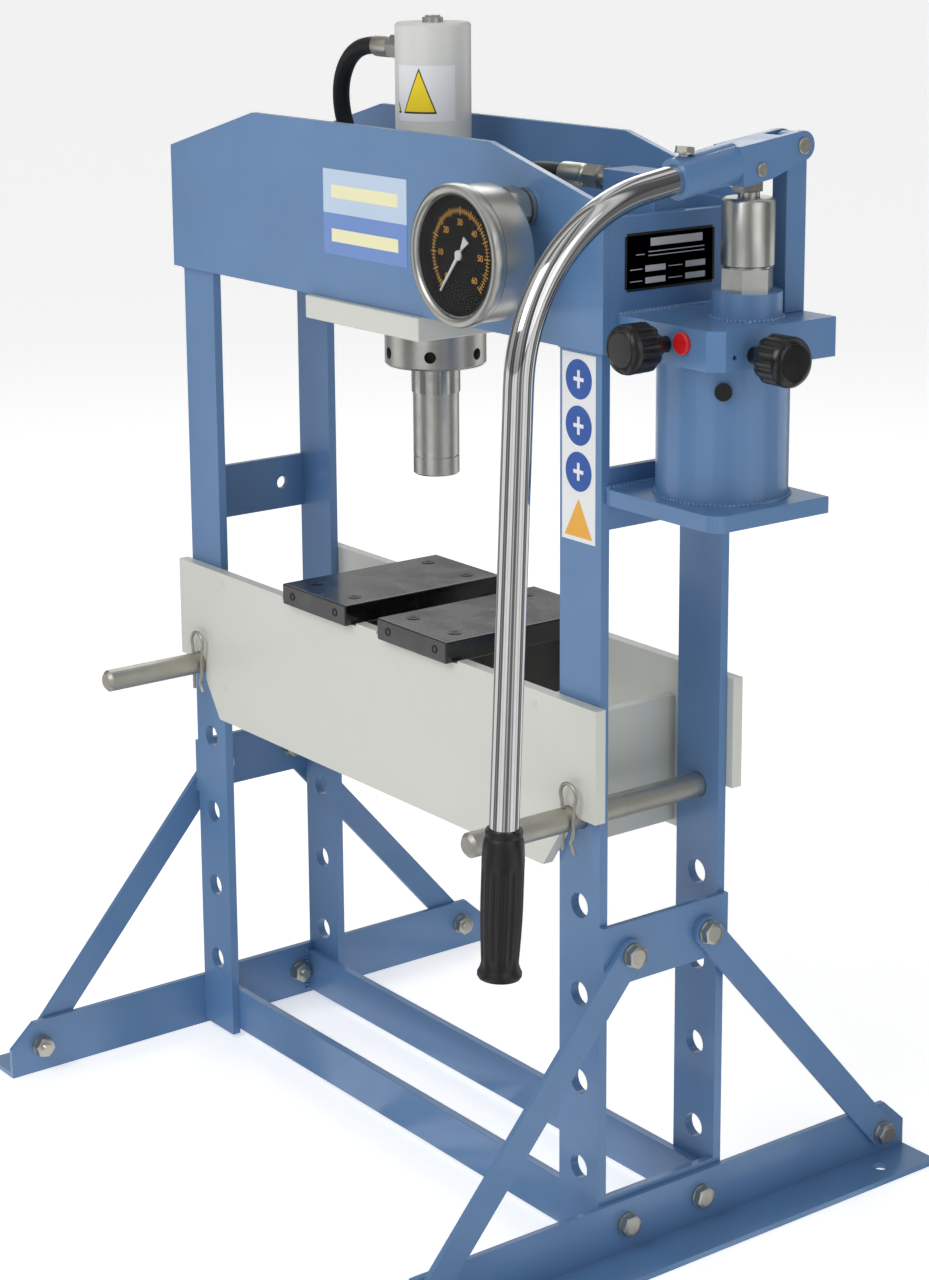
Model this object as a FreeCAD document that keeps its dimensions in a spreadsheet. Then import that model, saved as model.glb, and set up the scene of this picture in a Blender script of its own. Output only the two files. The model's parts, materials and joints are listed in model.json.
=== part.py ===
"""Hydraulic shop press: a welded flat-bar frame, a pinned height-adjustable bed, a hydraulic ram
with its hose and pressure gauge, and a lever pump with its oil reservoir.

Frame of the part: X runs across the press (the pump is on the +X side), Y runs from the front (-Y)
to the back (+Y), Z is up. The origin is on the floor, at the centre of the four anchor holes.
All lengths are in millimetres. Every size is a named cell of the sheet "sizes".
"""
import FreeCAD, Part
import Sketcher
import math
import os
import re

SIZES = {
    # uprights: four flat bars in two pairs
    "half_width": 300.0, "bar_width": 50.0, "bar_thick": 8.0, "bar_face": 66.0,
    "upright_low": 4.0, "upright_top": 855.0,
    "hole_first": 75.0, "hole_pitch": 75.0, "hole_count": 5.0, "pin_level": 4.0,
    # beam: two plates outside the uprights
    "beam_over": 8.0, "beam_low": 748.0, "beam_shoulder": 859.0, "beam_top": 897.0,
    "beam_flat_half": 170.0, "beam_thick": 6.0,
    # plates that join the uprights of a pair
    "spacer_thick": 6.0, "upper_left_low": 505.0, "upper_left_high": 555.0,
    "tool_hole_r": 6.0, "tool_hole_y": 33.0,
    "upper_right_low": 610.0, "upper_right_high": 658.0,
    "brace_plate_low": 238.0, "brace_plate_high": 289.0,
    "foot_spacer_low": 5.0, "foot_spacer_high": 55.0,
    # feet: angle irons
    "angle_thick": 5.0, "angle_leg": 50.0, "angle_flange": 45.0, "foot_inset": 22.0,
    "foot_chamfer_y": 24.0, "foot_chamfer_z": 22.0,
    "anchor_out": 26.0, "anchor_y": 230.0, "anchor_r": 6.5,
    # crossbars and braces
    "crossbar_thick": 8.0, "crossbar_low": 8.0, "crossbar_high": 48.0,
    "brace_width": 25.0, "brace_thick": 5.0,
    # hexagon bolts of the frame
    "bolt_r": 5.0, "bolt_gap": 0.5, "bolt_hex_r": 9.6, "bolt_head": 6.4, "nut_height": 8.0,
    "washer_r": 9.8, "washer_thick": 2.0,
    "foot_bolt_y": 40.0, "foot_bolt_z": 29.0, "end_bolt_y": 247.0, "end_bolt_z": 26.0,
    "brace_bolt_y": 40.0, "brace_bolt_z": 263.0,
    # ram mounting plate, cylinder and lock ring
    "mount_half_x": 82.0, "mount_half_y": 78.0, "mount_thick": 20.0,
    "cyl_r": 32.0, "cyl_top": 979.0, "cyl_roof": 12.0, "bore_r": 24.5, "neck_r": 30.0,
    "neck_gap": 0.2, "neck_low": 692.0, "ring_r": 43.5, "ring_low": 691.0,
    "ring_hole_r": 5.0, "ring_hole_deep": 8.0, "ring_hole_z": 703.0, "ring_holes": 6.0,
    "gland_low": 691.5, "gland_high": 716.0, "slide_gap": 0.05,
    "cap_r": 8.7, "cap_high": 6.0, "port_z": 956.0, "port_r": 5.0,
    # ram
    "ram_r": 21.0, "ram_low": 667.0, "ram_bore_r": 12.0, "ram_bore_low": 700.0,
    "spigot_r": 12.0, "spigot_deep": 26.0, "nose_r": 19.8, "nose_low": 595.5, "nose_band": 15.5,
    "groove_deep": 0.8, "groove_high": 1.6, "grub_r": 3.0, "grub_z": 619.0,
    "piston_low": 925.0, "piston_high": 945.0, "seal_low": 931.0, "seal_high": 938.0,
    "seal_deep": 3.0, "spring_r": 10.5, "spring_wall": 2.0, "spring_gap": 0.3,
    # hose and its ends
    "hose_r": 7.5, "hose_start_x": -80.0, "hose_end_x": 174.0, "hose_end_z": 868.0,
    "ferrule_r": 9.4, "hose_nut_r": 10.6, "hose_nut_stand": 4.0, "hose_nut_right_in": 94.0,
    "hose_stem_r": 6.0, "hose_nut_long": 16.0,
    # pressure gauge
    "gauge_in": 89.0, "gauge_z": 818.0, "gauge_front": 140.0, "gauge_back": 100.0,
    "case_r": 50.0, "case_wall": 1.5, "bezel_r": 55.0, "bezel_high": 9.0, "bezel_lip": 6.0,
    "lens_thick": 2.0, "lens_step": 1.5, "dial_depth": 9.0, "dial_thick": 1.0,
    "pointer_long": 38.0, "pointer_tail": 13.0, "pointer_wide": 2.2, "pointer_thick": 0.8,
    "pointer_hub_r": 4.0, "pointer_rise": 3.0, "fit_gap": 0.3,
    "gauge_port_z": 850.0, "gauge_port_in": 85.0, "gauge_hex_r": 15.0, "gauge_hex_long": 20.0,
    "gauge_stem_r": 7.0, "gauge_stem_back": 50.0, "line_r": 3.0, "line_bend": 12.0,
    "line_y": -10.0, "back_nut_r": 12.0, "back_nut_high": 8.0,
    # pump bracket and its port block
    "bracket_top": 850.0, "port_block_in": 60.0, "port_block_half": 16.0,
    "port_block_low": 830.0, "port_block_high": 878.0,
    # pump block, reservoir and base
    "block_end_out": 116.0, "block_front": 57.0, "block_back": 63.0, "block_low": 747.0,
    "block_high": 777.0, "block_chamfer": 10.0, "pump_out": 75.0, "pump_y": 11.0,
    "collar_r": 26.5, "collar_high": 20.0, "tank_out": 62.0, "tank_r": 50.0, "tank_wall": 4.0,
    "base_end_out": 124.0, "base_front": 62.0, "base_back": 52.0, "base_low": 630.0,
    "base_high": 643.0, "base_corner": 12.0,
    "spigot_pump_r": 16.0, "barrel_low": 757.0, "barrel_hex_r": 20.0, "barrel_hex_low": 797.0,
    "barrel_r": 20.0, "barrel_round_low": 812.0, "barrel_top": 866.0, "barrel_chamfer": 2.5,
    "plunger_r": 8.2, "plunger_low": 775.0, "plunger_shoulder": 870.0, "barrel_floor": 766.0,
    # valve knobs and plugs
    "knob_r": 19.0, "knob_long": 33.0, "knob_gap": 12.0, "stem_r": 6.0, "stem_deep": 28.0,
    "release_out": 62.0, "release_z": 762.0, "valve_y": -20.0, "valve_z": 757.0,
    "vent_out": 81.0, "vent_z": 765.0, "vent_r": 8.5, "vent_head": 4.0, "vent_stem_r": 4.0,
    "vent_deep": 10.0, "drain_z": 729.0, "drain_r": 6.5, "drain_head": 3.0, "drain_turn": -42.0,
    "drain_stem_r": 4.5, "pilot_y": -38.0, "pilot_r": 2.0, "pilot_deep": 8.0,
    # lever
    "pivot_y": 52.0, "pivot_z": 902.0, "pivot_r": 5.0, "post_half_x": 8.0, "post_half_y": 10.0,
    "lever_tilt": 9.0, "cheek_thick": 6.0, "cheek_gap": 0.5, "cheek_back_r": 11.0,
    "cheek_front": 62.0, "cheek_high": 13.0, "cheek_low": 17.0, "web_start": 18.0,
    "pin_head_r": 6.5, "pin_head": 2.0,
    "plunger_pin_r": 4.0, "plunger_pin_dy": 42.0, "plunger_pin_dz": 15.0,
    "socket_r": 15.5, "socket_gap": 0.1, "socket_end": 115.0, "tube_r": 11.0,
    "tube_start": 66.0, "tube_wall": 2.0, "bend_start": 143.0, "bend_r": 137.0,
    "lever_lean": 2.5, "grip_high_z": 427.0, "grip_low_z": 313.0, "grip_r": 15.0,
    "grip_flange_r": 16.5, "grip_flange": 6.0, "set_bolt_u": 103.0, "set_bolt_hex_r": 7.5,
    "set_bolt_head": 5.5, "set_bolt_r": 4.0,
    "eye_half_x": 6.0, "eye_front": 9.5, "eye_back": 9.5, "eye_high": 9.0,
    "slot_front": 7.0, "slot_back": 4.6, "slot_half_z": 4.4,
    # bed
    "bed_over": 7.0, "bed_top": 470.0, "bed_thick": 10.0, "bed_gap": 0.5,
    "bed_end_low": 378.0, "bed_low": 327.0, "bed_low_in": 58.0, "bed_heel_z": 361.0,
    "pocket_deep": 2.5, "pocket_inner": 15.0, "pocket_outer": 130.0,
    "cross_in": 73.0, "cross_thick": 10.0, "cross_low": 332.0, "cross_high": 440.0,
    "press_block_wide": 98.0, "press_block_half": 85.0, "press_block_high": 18.5,
    "left_block_x": -68.0, "right_block_x": 77.0, "lug_half_x": 25.0, "lug_half_y": 60.0,
    "lug_deep": 55.0,
    # support pins and their spring clips
    "pin_r": 10.0, "pin_gap": 0.4, "pin_front": 178.0, "pin_back": 82.0, "pin_chamfer": 3.0,
    "clip_y": -83.0, "clip_r": 1.75, "clip_gap": 0.3, "clip_leg": 24.0, "clip_eye_z": 18.0,
    "clip_clear": 1.25, "clip_tail_z": 9.0, "clip_flare": 9.0,
}

# places that follow another size, as formulas of the cells
FOLLOWS = {
    "beam_half": "half_width + beam_over",
    "foot_half": "half_width - foot_inset",
    "anchor_x": "half_width + anchor_out",
    "port_block_x": "half_width - port_block_in",
    "block_end_x": "half_width + block_end_out",
    "pump_x": "half_width + pump_out",
    "tank_x": "half_width + tank_out",
    "base_end_x": "half_width + base_end_out",
    "release_x": "half_width + release_out",
    "vent_x": "half_width + vent_out",
    "bed_half": "half_width + bed_over",
    "cross_x": "half_width - cross_in",
    "bed_low_half": "half_width - bed_low_in",
    "gauge_x": "half_width - gauge_in",
    "gauge_port_x": "half_width - gauge_port_in",
    "hose_nut_right_x": "half_width - hose_nut_right_in",
    "hose_nut_left_x": "-cyl_r - hose_nut_stand - hose_nut_long",
    "clip_eye_r": "(pin_r + clip_clear + clip_r) / 2",
}

# centre line of the pressure hose, from the cylinder's ferrule to the pump's ferrule
HOSE_ROUTE = [
    (-80.0, 0.0, 956.0), (-101.6, 0.0, 956.0), (-129.1, 2.0, 941.4),
    (-146.5, 6.0, 915.5), (-149.8, 12.0, 884.5), (-138.1, 19.0, 855.6),
    (-114.2, 26.0, 835.6), (-87.0, 33.5, 829.5), (-58.0, 40.0, 829.0),
    (-31.0, 44.5, 830.0), (-5.0, 46.5, 833.0), (21.0, 46.0, 837.5),
    (46.0, 41.5, 843.5), (70.0, 33.5, 851.0), (93.0, 23.0, 858.0),
    (116.0, 12.5, 863.5), (139.0, 4.0, 867.0), (161.0, 0.0, 868.0),
    (174.0, 0.0, 868.0),
]

doc = FreeCAD.newDocument("shop_press")
sheet = doc.addObject("Spreadsheet::Sheet", "sizes")
for row, (alias, number) in enumerate(SIZES.items(), start=1):
    sheet.set(f"A{row}", alias.replace("_", " "))
    sheet.set(f"B{row}", str(number))
    sheet.setAlias(f"B{row}", alias)
doc.recompute()

nodes = {}
volumes = {}
X_AXIS, Y_AXIS, Z_AXIS = (FreeCAD.Vector(1, 0, 0), FreeCAD.Vector(0, 1, 0), FreeCAD.Vector(0, 0, 1))
TURNS = {  # rotations that lay a local Z axis along a part axis
    "Z": FreeCAD.Rotation(Z_AXIS, 0),
    "X": FreeCAD.Rotation(Y_AXIS, 90),
    "Y": FreeCAD.Rotation(X_AXIS, -90),
}


def cell(alias):
    """The number in a cell of the sheet, or that a place's formula gives."""
    return sheet_value(FOLLOWS[alias]) if alias in FOLLOWS else float(sheet.get(alias))


def formula(text):
    """Turn a formula that uses cell names into one that reads them from the sheet."""
    def read(word):
        if word[0] in FOLLOWS:
            return f"({formula(FOLLOWS[word[0]])})"
        return f"sizes.{word[0]}" if word[0] in SIZES else word[0]
    return re.sub(r"[a-z][a-z_]+", read, str(text))


def bind(thing, **formulas):
    """Bind properties of an object to formulas; a name such as Placement_Base_x means a path."""
    for name, text in formulas.items():
        thing.setExpression(name.replace("_", "."), formula(text))
    return thing


def place(thing, at, turn=None):
    """Bind an object's position to three formulas, and give it a rotation."""
    if turn is not None:
        thing.Placement = FreeCAD.Placement(FreeCAD.Vector(), turn)
    for letter, text in zip("xyz", at):
        thing.setExpression(f"Placement.Base.{letter}", formula(text))
    return thing


def box(label, low, high):
    """A block between two corners, each given as three formulas."""
    made = doc.addObject("Part::Box", label)
    made.Label = label
    spans = [f"({b}) - ({a})" for a, b in zip(low, high)]
    bind(made, Length=spans[0], Width=spans[1], Height=spans[2])
    return place(made, low)


def rod(label, radius, length, at, axis="Z"):
    """A cylinder from a point along a part axis."""
    made = doc.addObject("Part::Cylinder", label)
    made.Label = label
    bind(made, Radius=radius, Height=length)
    return place(made, at, TURNS[axis])


def prism(label, radius, length, at, axis="Z"):
    """A hexagonal prism from a point along a part axis."""
    made = doc.addObject("Part::Prism", label)
    made.Label = label
    made.Polygon = 6
    bind(made, Circumradius=radius, Height=length)
    return place(made, at, TURNS[axis])


def fuse(label, *pieces):
    """One solid from several."""
    made = doc.addObject("Part::MultiFuse", label)
    made.Label = label
    made.Shapes = list(pieces)
    made.Refine = True
    return made


def cut(label, blank, *tools):
    """A blank less its tools."""
    made = doc.addObject("Part::Cut", label)
    made.Label = label
    made.Base = blank
    made.Tool = tools[0] if len(tools) == 1 else fuse(label + "_tools", *tools)
    made.Refine = True
    return made


def group(label, *pieces):
    """Several separate solids in one node."""
    made = doc.addObject("Part::Compound", label)
    made.Label = label
    made.Links = list(pieces)
    return made


def turned_copy(label, piece, at, turn):
    """A placed copy of an object, kept live by a link to its shape."""
    made = doc.addObject("Part::Compound", label)
    made.Label = label
    made.Links = [piece]
    return place(made, at, turn)


def node(piece, name=None):
    """Keep an object as one of the part's sub-parts."""
    if name:
        piece.Label = name
    nodes[piece.Label] = piece
    return piece


def origin_plane(body, role):
    """One of a body's own origin planes, found by its role."""
    return [f for f in body.Origin.OriginFeatures if f.Role == role][0]


def outline(body, plane, corners, name="Outline"):
    """A closed sketch through corners, each corner two formulas that are not negative."""
    sketch = body.newObject("Sketcher::SketchObject", name)
    sketch.AttachmentSupport = [(origin_plane(body, plane), "")]
    sketch.MapMode = "FlatFace"
    values = [tuple(sheet_value(part) for part in corner) for corner in corners]
    points = [FreeCAD.Vector(u, v, 0) for u, v in values]
    for start, end in zip(points, points[1:] + points[:1]):
        sketch.addGeometry(Part.LineSegment(start, end), False)
    count = len(points)
    for i in range(count):
        sketch.addConstraint(Sketcher.Constraint("Coincident", i, 2, (i + 1) % count, 1))
    for i, corner in enumerate(corners):
        for axis, kind in ((0, "DistanceX"), (1, "DistanceY")):
            if values[i][axis] == 0:
                sketch.addConstraint(Sketcher.Constraint("PointOnObject", i, 1, -2 + axis))
                continue
            number = sketch.addConstraint(Sketcher.Constraint(kind, -1, 1, i, 1, values[i][axis]))
            sketch.setExpression(f"Constraints[{number}]", formula(corner[axis]))
    return sketch


def sheet_value(text):
    """The number that a formula gives now."""
    def number(word):
        known = word[0] in SIZES or word[0] in FOLLOWS
        return f"({cell(word[0])!r})" if known else word[0]
    helper = re.sub(r"[a-z][a-z_]+", number, str(text))
    return float(FreeCAD.Units.Quantity(f"({helper})").Value)


def padded(label, plane, corners, thickness, at):
    """A plate: an outline on an origin plane, padded to its thickness, then placed."""
    body = doc.addObject("PartDesign::Body", label)
    body.Label = label
    sketch = outline(body, plane, corners)
    pad = body.newObject("PartDesign::Pad", "Pad")
    pad.Profile = sketch
    bind(pad, Length=thickness)
    sketch.Visibility = False
    return place(body, at)


def bored(body, plane, circles, name="Bores"):
    """Pocket round holes through a padded plate; each circle is u, v and radius, as formulas."""
    sketch = body.newObject("Sketcher::SketchObject", name)
    sketch.AttachmentSupport = [(origin_plane(body, plane), "")]
    sketch.MapMode = "FlatFace"
    for u, v, radius in circles:
        centre = FreeCAD.Vector(sheet_value(u), sheet_value(v), 0)
        size = sheet_value(radius)
        ring = sketch.addGeometry(Part.Circle(centre, Z_AXIS, size), False)
        for kind, text, args in (("DistanceX", u, (-1, 1, ring, 3, centre.x)),
                                 ("DistanceY", v, (-1, 1, ring, 3, centre.y)),
                                 ("Radius", radius, (ring, size))):
            number = sketch.addConstraint(Sketcher.Constraint(kind, *args))
            sketch.setExpression(f"Constraints[{number}]", formula(text))
    pocket = body.newObject("PartDesign::Pocket", "Pocket")
    pocket.Profile = sketch
    pocket.Type = "ThroughAll"
    pocket.Midplane = True
    return pocket


def turned(label, profile, at, axis="Z"):
    """A turned piece: a half profile of (radius, height) corners spun round its axis."""
    body = doc.addObject("PartDesign::Body", label)
    body.Label = label
    sketch = outline(body, "XZ_Plane", profile, "Profile")
    spin = body.newObject("PartDesign::Revolution", "Revolution")
    spin.Profile = sketch
    spin.ReferenceAxis = (sketch, ["V_Axis"])
    spin.Angle = 360.0
    return place(body, at, TURNS[axis])


# ---------------------------------------------------------------- uprights and beam
INNER_FACE = "(bar_face - bar_thick)"


def upright(name, side, front):
    """A flat bar with its row of support-pin holes, patterned upwards."""
    low_x = "-half_width" if side < 0 else "half_width - bar_width"
    face_y = "-bar_face + bar_thick" if front else "bar_face"
    bar = padded(name, "XZ_Plane",
                 [("0", "0"), ("bar_width", "0"), ("bar_width", "upright_top - upright_low"),
                  ("0", "upright_top - upright_low")], "bar_thick", (low_x, face_y, "upright_low"))
    pocket = bored(bar, "XZ_Plane", [("bar_width / 2", "hole_first - upright_low", "pin_r + pin_gap")])
    doc.recompute()
    row = bar.newObject("PartDesign::LinearPattern", "HoleRow")
    row.Originals = [pocket]
    row.Direction = (pocket.Profile[0], ["V_Axis"])
    bind(row, Length="hole_pitch * (hole_count - 1)", Occurrences="hole_count")
    bar.Tip = row
    return node(bar)


for side, side_name in ((-1, "left"), (1, "right")):
    upright(f"upright_front_{side_name}", side, True)
    upright(f"upright_back_{side_name}", side, False)

BEAM_CORNERS = [
    ("0", "0"), ("2 * beam_half", "0"), ("2 * beam_half", "beam_shoulder - beam_low"),
    ("beam_half + beam_flat_half", "beam_top - beam_low"),
    ("beam_half - beam_flat_half", "beam_top - beam_low"), ("0", "beam_shoulder - beam_low"),
]
beam_front = padded("beam_plate_front", "XZ_Plane", BEAM_CORNERS, "beam_thick",
                    ("-beam_half", "-bar_face", "beam_low"))
bored(beam_front, "XZ_Plane",
      [("beam_half + gauge_port_x", "gauge_port_z - beam_low", "gauge_stem_r + fit_gap")])
node(beam_front)
node(padded("beam_plate_back", "XZ_Plane", BEAM_CORNERS, "beam_thick",
            ("-beam_half", "bar_face + beam_thick", "beam_low")))

# ---------------------------------------------------------------- plates between the uprights
HOLE_R = "(bolt_r + bolt_gap)"


def side_plate(label, side, inner, outer, half_y, low, high):
    """A plate across one pair of uprights, from inner to outer distance from the middle."""
    near, far = (inner, outer) if side > 0 else (f"-({outer})", f"-({inner})")
    return box(label, (near, f"-({half_y})", low), (far, half_y, high))


def cross_hole(label, side, y, z, radius=HOLE_R, start="half_width - 40"):
    """A hole along X through everything on one side of the press."""
    x = start if side > 0 else f"-({start}) - 90"
    return rod(label, radius, "90", (x, y, z), "X")


INNER_X = "half_width - spacer_thick"
OUTER_X = "half_width + angle_thick"
spacers = [
    cut("spacer_upper_left",
        side_plate("upper_left_blank", -1, INNER_X, "half_width", INNER_FACE,
                   "upper_left_low", "upper_left_high"),
        cross_hole("tool_hole", -1, "tool_hole_y", "(upper_left_low + upper_left_high) / 2",
                   "tool_hole_r")),
    side_plate("spacer_upper_right", 1, INNER_X, "half_width", INNER_FACE,
               "upper_right_low", "upper_right_high"),
]
brace_plates = []
for side, side_name in ((-1, "left"), (1, "right")):
    spacers.append(cut(
        f"foot_spacer_{side_name}",
        side_plate(f"foot_spacer_blank_{side_name}", side, INNER_X, "half_width", INNER_FACE,
                   "foot_spacer_low", "foot_spacer_high"),
        *[cross_hole(f"foot_spacer_hole_{side_name}_{n}", side, f"{s}foot_bolt_y", "foot_bolt_z")
          for n, s in enumerate(("-", ""))]))
    brace_plates.append(cut(
        f"brace_plate_{side_name}",
        side_plate(f"brace_plate_blank_{side_name}", side, "half_width", OUTER_X, "bar_face",
                   "brace_plate_low", "brace_plate_high"),
        *[cross_hole(f"brace_plate_hole_{side_name}_{n}", side, f"{s}brace_bolt_y", "brace_bolt_z")
          for n, s in enumerate(("-", ""))]))
node(group("upright_spacers", *spacers))
node(group("brace_plates", *brace_plates))

# ---------------------------------------------------------------- feet, crossbars, braces
for side, side_name in ((-1, "left"), (1, "right")):
    near, far = ("half_width", OUTER_X) if side > 0 else (f"-({OUTER_X})", "-half_width")
    edge_x, flange_x = (near, "half_width + angle_flange") if side > 0 else (
        "-half_width - angle_flange", far)
    leg_x = near if side > 0 else f"-({OUTER_X})"
    leg = padded(f"foot_leg_{side_name}", "YZ_Plane",
                 [("0", "0"), ("2 * foot_half", "0"),
                  ("2 * foot_half", "angle_leg - foot_chamfer_z"),
                  ("2 * foot_half - foot_chamfer_y", "angle_leg"), ("foot_chamfer_y", "angle_leg"),
                  ("0", "angle_leg - foot_chamfer_z")],
                 "angle_thick", (leg_x, "-foot_half", "0"))
    flange = box(f"foot_flange_{side_name}", (edge_x, "-foot_half", "0"),
                 (flange_x, "foot_half", "angle_thick"))
    angle = fuse(f"foot_angle_{side_name}", leg, flange)
    drills = [cross_hole(f"foot_drill_{side_name}_{n}", side, y, z)
              for n, (y, z) in enumerate((("-foot_bolt_y", "foot_bolt_z"),
                                          ("foot_bolt_y", "foot_bolt_z"),
                                          ("-end_bolt_y", "end_bolt_z"),
                                          ("end_bolt_y", "end_bolt_z")))]
    drills += [rod(f"anchor_drill_{side_name}_{n}", "anchor_r", "2 * angle_thick",
                   ("anchor_x" if side > 0 else "-anchor_x", f"{s}anchor_y", "-angle_thick / 2"))
               for n, s in enumerate(("-", ""))]
    node(cut(f"foot_{side_name}", angle, *drills))

for name, low_y, high_y in (("crossbar_front", f"-{INNER_FACE}", f"-{INNER_FACE} + crossbar_thick"),
                            ("crossbar_back", f"{INNER_FACE} - crossbar_thick", INNER_FACE)):
    node(box(name, (f"-({INNER_X})", low_y, "crossbar_low"), (INNER_X, high_y, "crossbar_high")))


def brace(name, side, front):
    """A flat bar with round ends between its upper bolt and the foot's end bolt."""
    run_y = cell("end_bolt_y") - cell("brace_bolt_y")
    run_z = cell("brace_bolt_z") - cell("end_bolt_z")
    long = f"sqrt((end_bolt_y - brace_bolt_y) ^ 2 + (brace_bolt_z - end_bolt_z) ^ 2)"
    bar = box(name + "_bar", ("0", "0", "-brace_width / 2"), ("brace_thick", long, "brace_width / 2"))
    ends = [rod(f"{name}_end_{n}", "brace_width / 2", "brace_thick", ("0", at, "0"), "X")
            for n, at in enumerate(("0", long))]
    holes = [rod(f"{name}_hole_{n}", HOLE_R, "3 * brace_thick", ("-brace_thick", at, "0"), "X")
             for n, at in enumerate(("0", long))]
    flat = cut(name + "_flat", fuse(name + "_blank", bar, *ends), *holes)
    slope = math.degrees(math.atan2(run_z, run_y))
    angle = 180 + slope if front else -slope
    low_x = OUTER_X if side > 0 else f"-({OUTER_X}) - brace_thick"
    return turned_copy(name, flat, (low_x, "-brace_bolt_y" if front else "brace_bolt_y",
                                    "brace_bolt_z"), FreeCAD.Rotation(X_AXIS, angle))


for side, side_name in ((-1, "left"), (1, "right")):
    node(brace(f"brace_front_{side_name}", side, True))
    node(brace(f"brace_back_{side_name}", side, False))

# ---------------------------------------------------------------- bolts and nuts of the frame


def bolt_and_nut(label, side, y, z, head_at, nut_at):
    """A hexagon bolt with its washer, and the nut with its washer, as two solids along X."""
    if side > 0:
        head_x, washer_x, shank_x = f"{head_at} + washer_thick", head_at, f"{nut_at} - nut_height - 4"
        nut_x, nut_washer_x = f"{nut_at} - washer_thick - nut_height", f"{nut_at} - washer_thick"
    else:
        head_x, washer_x = f"-({head_at}) - washer_thick - bolt_head", f"-({head_at}) - washer_thick"
        shank_x = f"-({head_at}) - washer_thick"
        nut_x, nut_washer_x = f"-({nut_at}) + washer_thick", f"-({nut_at})"
    long = f"({head_at}) - ({nut_at}) + nut_height + 4 + washer_thick"
    head = prism(label + "_head", "bolt_hex_r", "bolt_head", (head_x, y, z), "X")
    washer = rod(label + "_washer", "washer_r", "washer_thick", (washer_x, y, z), "X")
    shank = rod(label + "_shank", "bolt_r", long, (shank_x, y, z), "X")
    nut = prism(label + "_nut", "bolt_hex_r", "nut_height", (nut_x, y, z), "X")
    nut_washer = rod(label + "_nut_washer", "washer_r", "washer_thick", (nut_washer_x, y, z), "X")
    bore = rod(label + "_bore", "bolt_r", f"{long} + 20", (f"{shank_x} - 10", y, z), "X")
    return [fuse(label + "_bolt", head, washer, shank),
            cut(label + "_nut_cut", fuse(label + "_nut_blank", nut, nut_washer), bore)]


fasteners = []
for side, side_name in ((-1, "left"), (1, "right")):
    for n, s in enumerate(("-", "")):
        tag = f"{side_name}_{n}"
        fasteners += bolt_and_nut(f"foot_bolt_{tag}", side, f"{s}foot_bolt_y", "foot_bolt_z",
                                  OUTER_X, INNER_X)
        fasteners += bolt_and_nut(f"end_bolt_{tag}", side, f"{s}end_bolt_y", "end_bolt_z",
                                  f"{OUTER_X} + brace_thick", "half_width")
        fasteners += bolt_and_nut(f"brace_bolt_{tag}", side, f"{s}brace_bolt_y", "brace_bolt_z",
                                  f"{OUTER_X} + brace_thick", "half_width")
node(group("frame_fasteners", *fasteners))

# ---------------------------------------------------------------- cylinder and its mounting
node(cut("ram_mount_plate",
         box("mount_blank", ("-mount_half_x", "-mount_half_y", "beam_low - mount_thick"),
             ("mount_half_x", "mount_half_y", "beam_low")),
         rod("mount_bore", "neck_r + neck_gap", "2 * mount_thick",
             ("0", "0", "beam_low - 1.5 * mount_thick"))))

cylinder = turned("cylinder_turned",
                  [("bore_r", "0"), ("neck_r", "0"), ("neck_r", "beam_low - neck_low"),
                   ("cyl_r", "beam_low - neck_low"), ("cyl_r", "cyl_top - neck_low - 2"),
                   ("cyl_r - 2", "cyl_top - neck_low"), ("0", "cyl_top - neck_low"),
                   ("0", "cyl_top - cyl_roof - neck_low"),
                   ("bore_r", "cyl_top - cyl_roof - neck_low")], ("0", "0", "neck_low"))
node(cut("cylinder", cylinder, rod("cylinder_port", "port_r", "cyl_r", ("-cyl_r - 5", "0", "port_z"), "X")))
node(rod("filler_cap", "cap_r", "cap_high", ("0", "0", "cyl_top")))

ring_blank = turned("ring_turned",
                    [("neck_r + neck_gap", "0"), ("ring_r - 2", "0"), ("ring_r", "2"),
                     ("ring_r", "beam_low - mount_thick - ring_low"),
                     ("neck_r + neck_gap", "beam_low - mount_thick - ring_low")],
                    ("0", "0", "ring_low"))
ring_drills = []
for n in range(int(cell("ring_holes"))):
    angle = -42.6 + n * 360.0 / cell("ring_holes")
    drill = rod(f"ring_drill_{n}", "ring_hole_r", "ring_hole_deep + 2", ("0", "0", "0"), "X")
    away = cell("ring_r") - cell("ring_hole_deep")
    spot = FreeCAD.Vector(away * math.cos(math.radians(angle)),
                          away * math.sin(math.radians(angle)), cell("ring_hole_z"))
    ring_drills.append(turned_copy(f"ring_spanner_hole_{n}", drill,
                                   [repr(value) for value in spot],
                                   FreeCAD.Rotation(Z_AXIS, angle)))
node(cut("lock_ring", ring_blank, *ring_drills))

node(turned("ram_gland",
            [("ram_r + slide_gap", "0"), ("bore_r", "0"), ("bore_r", "gland_high - gland_low"),
             ("ram_r + slide_gap", "gland_high - gland_low")], ("0", "0", "gland_low")))

# ---------------------------------------------------------------- ram, piston, nose, spring
node(turned("ram",
            [("0", "0"), ("spigot_r - slide_gap", "0"), ("spigot_r - slide_gap", "spigot_deep"),
             ("ram_r", "spigot_deep"), ("ram_r", "piston_low - ram_low + spigot_deep"),
             ("ram_bore_r", "piston_low - ram_low + spigot_deep"),
             ("ram_bore_r", "ram_bore_low - ram_low + spigot_deep"),
             ("0", "ram_bore_low - ram_low + spigot_deep")], ("0", "0", "ram_low - spigot_deep")))
node(turned("piston",
            [("ram_bore_r", "0"), ("bore_r - slide_gap", "0"),
             ("bore_r - slide_gap", "seal_low - piston_low"),
             ("bore_r - seal_deep", "seal_low - piston_low"),
             ("bore_r - seal_deep", "seal_high - piston_low"),
             ("bore_r - slide_gap", "seal_high - piston_low"),
             ("bore_r - slide_gap", "piston_high - piston_low"),
             ("ram_bore_r", "piston_high - piston_low")], ("0", "0", "piston_low")))
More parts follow.
